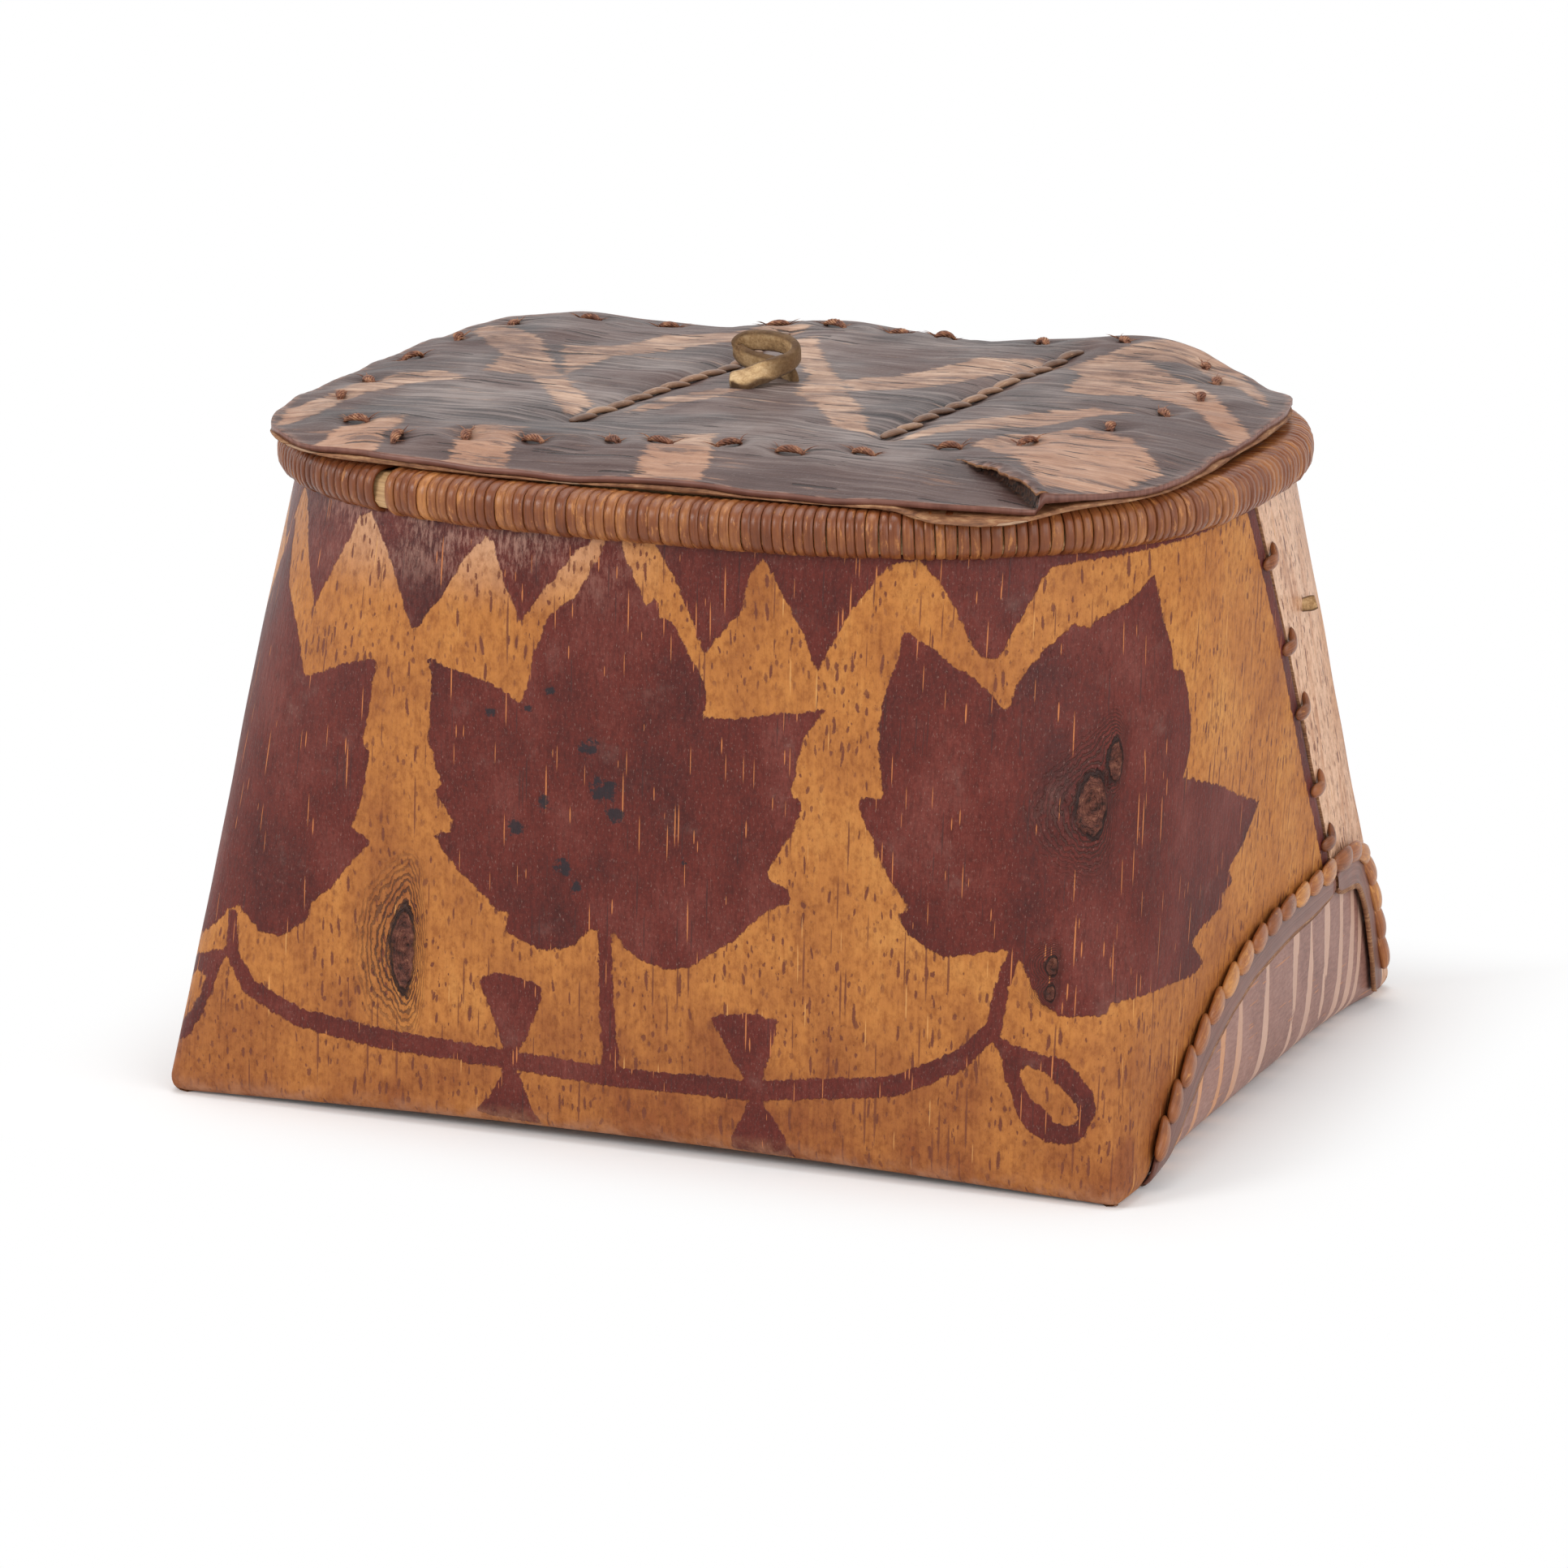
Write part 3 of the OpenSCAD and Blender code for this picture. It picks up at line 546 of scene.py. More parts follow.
def dressed(material, shader, colour, height, depth, strength, rough=None):
    # colour, roughness and bump, which is a height in shares of depth in metres
    bump = newNode(colour.tree, "Bump")
    bump.inputs["Strength"].default_value = strength
    bump.inputs["Distance"].default_value = depth
    feed(bump.inputs["Height"], height)
    feed(shader.inputs["Normal"], Value(colour.tree, bump.outputs[0]))
    feed(shader.inputs["Base Color"], colour)
    feed(shader.inputs["Roughness"], rough)
    return material


wallTints = {
    "goldDark": (0.270, 0.078, 0.020),
    "gold": (0.490, 0.185, 0.042),
    "goldPale": (0.660, 0.310, 0.082),
    # pale colour of the back wings, also laid on the front's upper left as a painted highlight
    "goldPaleWingAndSheen": (0.840, 0.560, 0.400),
    "goldStreak": (0.520, 0.235, 0.115),
    "goldScar": (0.150, 0.056, 0.042),
    "goldStain": (0.200, 0.060, 0.028),
    "goldLit": (0.680, 0.340, 0.110),
    "fleck": (0.095, 0.022, 0.012),
    "fleckPale": (0.230, 0.066, 0.026),
    "rindDark": (0.062, 0.009, 0.007),
    "rind": (0.130, 0.018, 0.011),
    "rindPale": (0.215, 0.054, 0.040),
    # painted highlight: pale sheen laid on the rind
    "rindPaintedSheen": (0.560, 0.330, 0.250),
    "dust": (0.360, 0.230, 0.190),
    "slit": (0.500, 0.165, 0.052),
    "slitClosed": (0.050, 0.016, 0.014),
    "blot": (0.014, 0.013, 0.017),
    "knot": (0.055, 0.020, 0.014),
    "coreDark": (0.026, 0.008, 0.005),
    "core": (0.120, 0.034, 0.021),
    "corePale": (0.270, 0.105, 0.062),
    "cleft": (0.022, 0.007, 0.005),
    "worn": (0.460, 0.220, 0.120),
}


def wallFinish(name):
    # scraped golden bark with the unscraped rind design left on it
    material, tree, shader = newFinish(name, 0.4, 0.25)
    c = wallTints
    place = sheetPlace(tree)
    pattern, scuff, paleWingAndSheen, knot, blot, darken, polish = (
        pointValue(tree, key + "By") for key in ("rind", "scuff", "paleWingAndSheen", "knot", "blot", "darken", "polish"))
    broad = grain(place, 11, 4, 0.6)
    drift = grain(place, (70, 18), 4, 0.6)
    streak = grain(place, (800, 34), 3, 0.6)
    fine = grain(place, 900, 3, 0.6)
    ragged = grain(place, (420, 210), 4, 0.65, (3, 5))
    # edge of the design, in millimetres, made ragged
    rough = (ragged - 0.5) * 3.4 + (fine - 0.5) * 0.8
    mask = between(pattern + rough, -0.22, 0.22)
    # scraped bark
    patch = grain(place, 42, 5, 0.62)
    # darker towards the bottom of the wall and in a few patches
    tone = broad * 0.35 + patch * 0.35 + drift * 0.25 + streak * 0.15 - darken * 0.16
    gold = tints(tone, (0.36, c["goldDark"]), (0.55, c["gold"]), (0.76, c["goldPale"]))
    # pale pink: the back wings' own pale colour, and a painted highlight on the front's upper left
    gold = blended(capped(paleWingAndSheen, 0.85), gold, c["goldPaleWingAndSheen"])
    # the pale wings have orange streaks and a few dark scars
    streaks = between(grain(place, (170, 22), 5, 0.7, (7, 3)), 0.47, 0.64, 0.0, 0.75)
    gold = blended(capped(paleWingAndSheen, streaks), gold, c["goldStreak"])
    scars = between(grain(place, (330, 70), 5, 0.7, (2, 6)), 0.61, 0.68, 0.0, 0.9)
    gold = blended(capped(paleWingAndSheen, scars), gold, c["goldScar"])
    smear = between(grain(place, (60, 34), 5, 0.7, (9, 2), warp=0.6), 0.60, 0.74, 0.0, 0.55)
    gold = blended(smear, gold, c["goldDark"])
    stain = between(grain(place, (240, 120), 4, 0.6, (1, 7)), 0.66, 0.74, 0.0, 0.7)
    gold = blended(stain, gold, c["goldStain"])
    mottle = grain(place, (420, 250), 5, 0.72, (2, 3))
    shade = tints(mottle, (0.36, (0.56, 0.45, 0.36)), (0.52, (0.88, 0.86, 0.82)), (0.66, (1, 1, 1)))
    gold = blended(0.8, gold, shade, "MULTIPLY")
    small = slits(place, 0.52, 1.20, 0.62, 3.1, 1.6, 1.5)
    middle = slits(place, 0.56, 2.6, 0.30, 7.7, 1.1, 1.2)
    tall = slits(place, 0.34, 9.0, 0.24, 1.9, 0.3, 0.5)
    crowd = between(grain(place, 34, 4, 0.6), 0.40, 0.58, 0.30, 1.0)
    specks = between(grain(place, (900, 420), 3, 0.7, (5, 9)), 0.62, 0.70, 0.0, 0.8)
    marks = most(small * crowd, middle, tall * 0.85, specks * crowd)
    gold = blended(marks, gold, blended(mottle, c["fleck"], c["fleckPale"]))
    gold = blended(slits(place, 0.28, 6.0, 0.06, 5.3, 0.2) * 0.6, gold, c["goldLit"])
    # rind
    cloud = grain(place, (34, 22), 5, 0.62, (4, 4))
    rind = tints(cloud * 0.75 + fine * 0.25, (0.34, c["rindDark"]), (0.52, c["rind"]), (0.74, c["rindPale"]))
    scurf = grain(place, (760, 210), 5, 0.74, (8, 1))
    shade = tints(scurf, (0.36, (0.56, 0.50, 0.48)), (0.52, (0.84, 0.82, 0.82)), (0.66, (1, 1, 1)))
    rind = blended(0.85, rind, shade, "MULTIPLY")
    rind = blended(between(grain(place, (1700, 640), 3, 0.75), 0.57, 0.72, 0.0, 0.4), rind, c["dust"])
    rind = blended(between(grain(place, 55, 5, 0.72), 0.54, 0.80, 0.0, 0.18), rind, c["dust"])
    # painted highlight: pale specks of sheen on the rind along the front's upper left
    paintedSheen = between(paleWingAndSheen, 0.52, 0.75, 1.0, 0.0) * between(scurf * 0.6 + patch * 0.4, 0.46, 0.60, 0.0, 0.9)
    rind = blended(capped(paleWingAndSheen, paintedSheen), rind, c["rindPaintedSheen"])
    opened = most(slits(place, 0.23, 6.5, 0.12, 2.2, 0.12, 0.35),
                  slits(place, 0.24, 2.6, 0.04, 8.4, 0.15, 0.35))
    rind = blended(opened, rind, c["slit"])
    rind = blended(slits(place, 0.24, 7.0, 0.14, 6.6, 0.2) * 0.7, rind, c["slitClosed"])
    spatter = grain(place, 360, 5, 0.7)
    rind = blended(between(blot * 0.6 + spatter * 1.3, 0.91, 1.03, 0.0, 0.88), rind, c["blot"])
    colour = blended(mask, gold, rind)
    # knots: dark rings round each eye
    swirl = grain(place, (130, 60), 4, 0.6, (6, 1))
    rings = calc("SINE", knot * 34.0 + swirl * 26.0 + ragged * 8.0 + fine * 2.0)
    ringShare = between(knot + patch * 1.6, 3.6, 1.9) * between(rings, 0.1, 0.9)
    colour = blended(ringShare * 0.88, colour, c["knot"])
    edgeOut = knot + ragged * 0.5
    eye = between(edgeOut, 1.32, 1.12)
    core = tints(spatter, (0.36, c["coreDark"]), (0.52, c["core"]), (0.70, c["corePale"]))
    colour = blended(eye, colour, core)
    cleft = between(calc("ABSOLUTE", edgeOut - 1.28), 0.14, 0.05, 0.0, 0.95) * between(swirl, 0.36, 0.52)
    colour = blended(cleft, colour, c["cleft"])
    # worn along the bottom fold
    colour = blended(scuff * between(grain(place, 120, 4, 0.65), 0.35, 0.70), colour, c["worn"])
    gloss = mask * 0.02 + fine * 0.16 + scuff * 0.2 + scurf * 0.1 - polish * 0.17
    height = (mask * 0.30 + streak * 0.22 + fine * 0.14 - marks * 0.22 - opened * 0.12 + mottle * 0.3
              + scurf * 0.3 - ringShare * 1.1 + eye * spatter * 1.8 - cleft + drift * 0.3)
    return dressed(material, shader, colour, height, 0.0009, 0.8, gloss + 0.36)


def innerFinish(name):
    # papery outer side of the sheet, which faces into the basket
    material, tree, shader = newFinish(name, 0.6, 0.3)
    place = sheetPlace(tree)
    tone = grain(place, 16, 5, 0.6) * 0.6 + grain(place, (500, 40), 3) * 0.4
    colour = tints(tone, (0.35, (0.24, 0.13, 0.075)), (0.55, (0.42, 0.27, 0.17)), (0.75, (0.56, 0.41, 0.29)))
    marks = most(slits(place, 0.4, 9.0, 0.22, 2.7, 0.3), slits(place, 0.4, 3.0, 0.2, 5.1, 0.4))
    colour = blended(marks, colour, (0.13, 0.070, 0.045))
    return dressed(material, shader, colour, marks * 0.5 + tone * 0.4, 0.0006, 0.7)


def tongueFinish(name):
    # dark rind of the folded end, with scraped stripes
    material, tree, shader = newFinish(name, 0.42, 0.3)
    place = sheetPlace(tree)
    stripe = pointValue(tree, "stripeBy")
    warm = pointValue(tree, "warmBy")
    fine = grain(place, 800, 3, 0.6)
    cloud = grain(place, (40, 26), 5, 0.6)
    weave = grain(place, (260, 900), 3, 0.6)
    ragged = grain(place, (420, 160), 4, 0.6)
    rind = tints(cloud * 0.6 + weave * 0.4,
                 (0.34, (0.165, 0.070, 0.052)), (0.54, (0.285, 0.140, 0.108)), (0.76, (0.430, 0.245, 0.195)))
    orange = most(slits(place, 6.0, 0.26, 0.11, 4.4, 0.3, 0.5), slits(place, 2.6, 0.22, 0.08, 9.1, 0.4, 0.5))
    rind = blended(orange * 0.85, rind, (0.52, 0.21, 0.085))
    pale = blended(warm, (0.56, 0.345, 0.255), (0.62, 0.275, 0.110))
    pale = blended(between(cloud, 0.3, 0.7, 0.0, 0.4), pale, (0.40, 0.23, 0.17))
    mask = between(stripe + (ragged - 0.5) * 1.6, -0.2, 0.2)
    colour = blended(mask, rind, pale)
    dust = between(grain(place, (1300, 900), 2, 0.7), 0.60, 0.80, 0.0, 0.3)
    colour = blended(dust, colour, (0.42, 0.31, 0.27))
    height = mask * -0.3 + weave * 0.3 + fine * 0.15 - orange * 0.2
    return dressed(material, shader, colour, height, 0.0007, 0.7, fine * 0.18 + 0.33)


def bandFinish(name):
    # smooth strip of rind
    material, tree, shader = newFinish(name, 0.36, 0.28)
    place = sheetPlace(tree)
    lines = grain(place, (22, 700), 4, 0.6)
    cloud = grain(place, 60, 4, 0.6)
    colour = tints(lines * 0.55 + cloud * 0.45,
                   (0.34, (0.100, 0.036, 0.025)), (0.54, (0.185, 0.078, 0.056)),
                   (0.76, (0.290, 0.140, 0.105)))
    return dressed(material, shader, colour, lines, 0.0005, 0.6, cloud * 0.25 + 0.24)


def rootFinish(name, dark, middle, light, roughness):
    # split root: lines along the strand, a tone of its own for each turn, worn pale patches
    material, tree, shader = newFinish(name, roughness, 0.35)
    place = sheetPlace(tree)
    turn = pointValue(tree, "tone")
    lines = grain(place, (60, 1500), 3, 0.6)
    cloud = grain(place, 130, 4, 0.6)
    colour = tints(turn * 0.55 + lines * 0.30 + cloud * 0.30, (0.36, dark), (0.56, middle), (0.82, light))
    worn = between(grain(place, (150, 520), 5, 0.74, (2, 8)) * 0.8 + turn * 0.22, 0.545, 0.64, 0.0, 0.85)
    colour = blended(worn, colour, light)
    return dressed(material, shader, colour, lines * 0.6 + cloud * 0.4, 0.0004, 0.7,
                   cloud * 0.3 + worn * 0.1 + (roughness - 0.14))


lidTints = {
    "brown": (0.078, 0.034, 0.027),
    "warmPale": (0.420, 0.200, 0.112),
    "darkScrape": (0.250, 0.190, 0.170),
    "paleScrape": (0.135, 0.070, 0.050),
    "crack": (0.020, 0.010, 0.009),
    "rim": (0.400, 0.220, 0.160),
    "speck": (0.400, 0.330, 0.290),
}


def lidFinish(name):
    # dark weathered bark with pale scraped bands and cracks along its grain
    material, tree, shader = newFinish(name, 0.42, 0.24)
    c = lidTints
    place = objectPlace(tree)
    rimmed, scraped, warm, paintedShadeAt = (pointValue(tree, key + "By") for key in ("rim", "band", "warm", "paintedShade"))
    along = grain(place, (14, 420, 14), 4, 0.65)
    broad = grain(place, 16, 4, 0.6)
    fine = grain(place, 1000, 3, 0.6)
    ragged = grain(place, (150, 420, 100), 4, 0.65)
    # dark bark: its palest, grey stop is partly the bark's own weathered grey and partly a painted sheen
    dark = tints(broad * 0.55 + along * 0.45,
                 (0.41, (0.020, 0.014, 0.015)), (0.50, (0.082, 0.058, 0.054)), (0.60, (0.250, 0.198, 0.180)))
    brown = between(grain(place, 22, 4, 0.6), 0.42, 0.62, 0.0, 0.65)
    dark = blended(most(warm * 0.75, brown), dark, c["brown"])
    blotch = grain(place, (60, 110, 60), 5, 0.66, (1, 2))
    pale = tints(broad * 0.25 + along * 0.35 + blotch * 0.40,
                 (0.41, (0.120, 0.058, 0.039)), (0.50, (0.330, 0.190, 0.125)), (0.59, (0.550, 0.360, 0.255)))
    pale = blended(warm * 0.6, pale, c["warmPale"])
    mask = between(scraped + ((ragged - 0.5) * 7.0 + (along - 0.5) * 9.0), -0.9, 0.9)
    # dark rind left in the bands, and worn streaks in the dark
    left = between(grain(place, (42, 210, 42), 5, 0.7, (6, 1)), 0.55, 0.64, 1.0, 0.25)
    thin = between(grain(place, (30, 260, 30), 5, 0.7, (2, 5)), 0.60, 0.70, 0.0, 0.55)
    mask = most(mask * left, thin)
    scrape = between(grain(place, (22, 330, 20), 4, 0.66, (4, 3)), 0.54, 0.68, 0.0, 0.5)
    colour = blended(mask, blended(scrape, dark, c["darkScrape"]), blended(scrape, pale, c["paleScrape"]))
    cracks = most(slits(place, 13.0, 0.80, 0.20, 3.3, 0.5, 0.8), slits(place, 6.0, 0.55, 0.20, 6.1, 0.5, 0.8))
    colour = blended(cracks * 0.88, colour, c["crack"])
    colour = blended(rimmed * between(ragged, 0.40, 0.60, 0.0, 0.75), colour, c["rim"])
    specks = between(grain(place, (900, 1600, 900), 2, 0.7), 0.64, 0.76, 0.0, 0.35)
    colour = blended(specks, colour, c["speck"])
    # painted shade: near-black along the tear's step and in the tie holes
    colour = blended(paintedShadeAt, colour, tints(fine, (0.4, (0.012, 0.006, 0.004)), (0.72, (0.100, 0.040, 0.020))))
    height = along * 0.35 + mask * 0.15 - cracks * 1.0 + scrape * 0.1 + fine * 0.12
    return dressed(material, shader, colour, height, 0.0012, 0.9, fine * 0.16 + broad * 0.14 + 0.30)


def suedeFinish(name):
    # tanned hide: pale nap on the flesh side, dark along the cut edges
    material, tree, shader = newFinish(name, 0.8, 0.2)
    shader.inputs["Sheen Weight"].default_value = 0.1
    shader.inputs["Sheen Roughness"].default_value = 0.5
    place = objectPlace(tree)
    edge = pointValue(tree, "edgeBy")
    nap = grain(place, 1300, 4, 0.7)
    cloud = grain(place, 150, 4, 0.6)
    colour = tints(nap * 0.4 + cloud * 0.6,
                   (0.36, (0.180, 0.092, 0.040)), (0.52, (0.480, 0.300, 0.140)),
                   (0.68, (0.740, 0.530, 0.300)))
    colour = blended(edge * between(cloud, 0.25, 0.6, 0.6, 1.0), colour, (0.090, 0.044, 0.018))
    return dressed(material, shader, colour, nap * 0.5 + cloud * 0.5, 0.0006, 0.9)


def plainFinish(name, gloss, scale, rough, bump, *stops):
    # one noise gives colour and bump: gloss is roughness and specular, bump is depth and strength
    material, tree, shader = newFinish(name, *gloss)
    lines = grain(objectPlace(tree), scale, 4, rough)
    return dressed(material, shader, tints(lines, *stops), lines, *bump)


def edgeFinish(name):
    # cut edge of the bark, with its thin layers
    material, tree, shader = newFinish(name, 0.65, 0.25)
    place = objectPlace(tree)
    layers = grain(place, (90, 90, 1900), 4, 0.7) * 0.65 + grain(place, 260, 4, 0.7) * 0.35
    colour = tints(layers, (0.36, (0.090, 0.034, 0.018)), (0.52, (0.270, 0.120, 0.056)),
                   (0.68, (0.500, 0.300, 0.155)))
    return dressed(material, shader, colour, layers, 0.0005, 0.8)


wallBark = wallFinish("scrapedBark")
innerBark = innerFinish("paperBark")
cutBark = edgeFinish("cutBark")
tongueBark = tongueFinish("stripedRind")
bandBark = bandFinish("bandRind")
stitchRoot = rootFinish("stitchRoot", (0.085, 0.020, 0.006), (0.300, 0.096, 0.027), (0.60, 0.270, 0.075), 0.3)
rimRoot = rootFinish("rimRoot", (0.075, 0.016, 0.005), (0.185, 0.052, 0.016), (0.46, 0.185, 0.054), 0.31)
rowRoot = rootFinish("rowRoot", (0.085, 0.040, 0.024), (0.255, 0.135, 0.078), (0.50, 0.315, 0.195), 0.34)
lidBark = lidFinish("weatheredBark")
tieFibre = plainFinish("tieFibre", (0.55, 0.35), 420, 0.7, (0.0004, 0.8), (0.34, (0.055, 0.017, 0.010)),
                       (0.50, (0.200, 0.072, 0.036)), (0.66, (0.440, 0.215, 0.110)))
suede = suedeFinish("suede")
splintWood = plainFinish("splintWood", (0.5, 0.4), (30, 30, 900), 0.6, (0.0005, 0.6),
                         (0.32, (0.34, 0.185, 0.080)), (0.55, (0.56, 0.345, 0.160)),
                         (0.76, (0.70, 0.475, 0.250)))
stripBark = plainFinish("stripBark", (0.5, 0.4), (300, 700, 40), 0.6, (0.0006, 0.7),
                        (0.32, (0.030, 0.011, 0.008)), (0.55, (0.085, 0.030, 0.020)),
                        (0.76, (0.170, 0.066, 0.042)))
print("finishes made:", len(bpy.data.materials))


# the design left in the rind, as run along the front from its middle and height, in millimetres
design = {
    "toothBorder": [
        [(-260, 220), (-260, 187), (-166, 186), (-155, 178), (-148, 168), (-141, 182), (-139, 187),
         (-136, 187), (-131, 181), (-117, 155), (-106, 174), (-101, 184), (-96, 187), (-92, 183),
         (-87, 176), (-82, 168), (-75, 153), (-65, 166), (-56, 180), (-50, 185), (-48, 183), (-45, 174),
         (-38, 160), (-31, 170), (-25, 177), (-20, 183), (-14, 187), (-14, 220)],
        [(5, 220), (6, 187), (10, 181), (15, 172), (18, 165), (22, 155), (28, 163), (34, 170), (36, 180),
         (40, 186), (46, 177), (54, 163), (58, 153), (62, 161), (68, 172), (74, 180), (79, 186), (88, 187),
         (94, 181), (99, 173), (105, 162), (108, 159), (113, 159), (117, 168), (121, 174), (125, 182),
         (128, 185), (141, 185.5), (164, 186), (260, 187), (260, 220)],
    ],
    "leaves": [
        [(-142, 180), (-135, 159), (-127, 151), (-122, 144), (-117, 134), (-101, 140), (-88, 144),
         (-89, 135), (-90, 126), (-92, 118), (-89, 115), (-90, 107), (-92, 98), (-95, 91), (-91, 89),
         (-88, 87), (-93, 82), (-98, 76), (-101, 72), (-109, 65), (-109, 61), (-115, 57), (-118, 54),
         (-126, 55), (-130, 58), (-135, 62), (-139, 60), (-143, 56), (-152, 50), (-158, 49), (-166, 53),
         (-172, 60), (-176, 64), (-184, 66), (-182, 72), (-190, 80), (-196, 88), (-190, 92), (-196, 104),
         (-198, 116), (-194, 122), (-196, 134), (-203, 144), (-188, 141), (-174, 137), (-162, 133),
         (-160, 145), (-156, 152), (-150, 160), (-146, 168)],
        [(-11, 220), (-11, 185), (-16, 176), (-20, 169), (-25, 166), (-29, 163), (-31, 157), (-34, 150),
         (-35, 143), (-38, 135), (-45, 139), (-54, 142), (-64, 144), (-70, 147), (-68, 140), (-68, 131),
         (-69, 121), (-64, 107), (-67, 106), (-60, 96), (-61, 93), (-67, 92), (-63, 87), (-58, 81),
         (-54, 78), (-50, 75), (-46, 71), (-41, 70), (-42, 64), (-32, 60), (-26, 60), (-19, 62),
         (-15, 67), (-12, 68), (-6, 68), (-2, 63), (5, 59), (13, 58), (20, 60), (27, 65), (35, 70),
         (36, 72), (45, 80), (52, 83), (51, 86), (43, 90), (47, 97), (52, 104), (54, 111), (54, 114),
         (51, 115), (53, 127), (55, 134), (62, 143), (56, 141), (44, 139), (33, 137), (22, 136),
         (23, 141), (22, 147), (19, 152), (15, 159), (11, 165), (8, 165), (6, 171), (3, 169), (0, 175),
         (-2, 179), (-5, 185), (-5, 220)],
        [(164, 178), (154, 172), (142, 168), (141, 166), (135, 168), (132, 165), (126, 161), (121, 155),
         (118, 151), (116, 143), (113, 147), (106, 153), (99, 157), (93, 162), (84, 167), (83, 160),
         (81, 154), (79, 146), (78, 138), (78, 131), (79, 125), (80, 117), (72, 117), (74, 111),
         (78, 103), (81, 96), (83, 93), (89, 85), (86, 82), (89, 77), (95, 73), (100, 71), (111, 73),
         (120, 75), (125, 72), (128, 64), (132, 59), (138, 56), (145, 56), (151, 56), (152, 59),
         (162, 59), (183, 58), (205, 56), (212, 58), (200, 66), (209, 69), (225, 71), (223, 75),
         (234, 76), (228, 81), (241, 86), (250, 92), (254, 95), (229, 103), (213, 109), (185, 117),
         (188, 124), (188, 132), (182, 148), (176, 150), (174, 157), (170, 164), (165, 178)],
    ],
    "stems": [
        ([(-137, 58), (-136, 47), (-129, 37), (-111, 29), (-86, 26), (-48, 24), (-8, 22), (41, 23),
          (86, 30), (106, 40), (117, 51), (119, 64), (122, 73)],
         [2.0, 2.3, 2.8, 3.1, 3.2, 3.2, 3.2, 3.3, 3.2, 3.0, 2.5, 2.2, 2.0]),
        ([(-9, 68), (-8, 44), (-6, 23)], [2.1, 2.3, 3.0]),
    ],
    "buds": [
        ([(117, 50), (123, 47), (131, 45), (139, 44), (144, 39), (148, 34), (149, 29), (147, 23),
          (145, 20), (139, 18), (133, 19), (127, 23), (124, 29), (121, 36), (120, 42), (117, 47)],
         [(125, 39), (128, 41), (134, 39), (139, 35), (144, 30), (144, 26), (141, 24), (137, 25),
          (133, 29), (129, 31), (127, 35)]),
        ([(-138, 48), (-145, 46), (-155, 43), (-163, 37), (-168, 29), (-166, 20), (-160, 16), (-152, 18),
          (-147, 25), (-143, 34), (-140, 42)],
         [(-146, 38), (-152, 39), (-160, 33), (-162, 26), (-157, 22), (-152, 26), (-148, 32)]),
    ],
    "hourglasses": [
        [(-51, 49), (-43, 51), (-36, 50), (-29, 48), (-31, 41), (-34, 33), (-37, 27), (-38, 22),
         (-36, 16), (-33, 9), (-29, 2), (-43, 3), (-52, 5), (-47, 10), (-44, 16), (-42, 22), (-42, 27),
         (-45, 35), (-48, 42)],
        [(26, 45), (31, 46.5), (36, 47), (42, 47), (48, 46), (46, 36), (44, 29), (42.5, 24), (43, 20),
         (46, 16), (50, 11), (54, 2), (42, 1), (33, 2), (35, 10), (38, 17), (39.5, 21), (38, 25),
         (35.5, 30), (33, 33), (29, 40)],
    ],
    "knots": [(-75, 55, 4.9, 13), (144, 116, 6, 9), (151, 128, 3.2, 6), (134, 71, 2.2, 3),
              (134, 63, 1.8, 2.4)],
    "blots": [(-10, 111, 5), (-15, 123, 3.6), (-39, 97, 3.2), (-30, 105, 2.8), (-23, 86, 3.6),
              (-48, 131, 2.4), (-36, 133, 2.1), (-28, 140, 2), (-19, 80, 2.6), (-6, 104, 3.2),
              (16, 92, 1.8)],
    # patches where the wall is darker low down: middle and reach along the run, then along the height
    "darkenAt": (-84, 20, 74, 24),
    "footDarkAt": (161, 4, 13, 7),
    "backKnot": (74, 108),
    "backSqueeze": 0.8,
    "seamMargin": 5.5,
}


def designBy(p, z):
    # distance into the nearest shape of the design: the largest of all the signed distances
    best = np.full(np.shape(p), -30.0)
    for outline in design["toothBorder"] + design["leaves"] + design["hourglasses"]:
        best = np.maximum(best, insideBy(p, z, outline))
    for line, widths in design["stems"]:
        best = np.maximum(best, alongBy(p, z, line, widths))
    for outline, hollow in design["buds"]:
        best = np.maximum(best, np.minimum(insideBy(p, z, outline), -insideBy(p, z, hollow)))
    return np.clip(best, -30, 30)


def knotsBy(p, z):
    # distance from each knot in shares of its own half width and half height:
    # tighter on its right, drawn out on its left
    def across(by):
        return np.where(by > 0, by / 0.6, np.where(by > -1, by, -1 + (by + 1) * 0.5))

    far = [np.hypot(across((p - x) / w), (z - y) / h) for x, y, w, h in design["knots"]]
    return np.minimum.reduce(far)


def blotsBy(p, z):
    # one in the middle of the nearest blot, zero at one and a half of its radius
    near = [1 - np.hypot(p - x, z - y) / (1.5 * r) for x, y, r in design["blots"]]
    return np.clip(np.maximum.reduce(near), -1, 1)


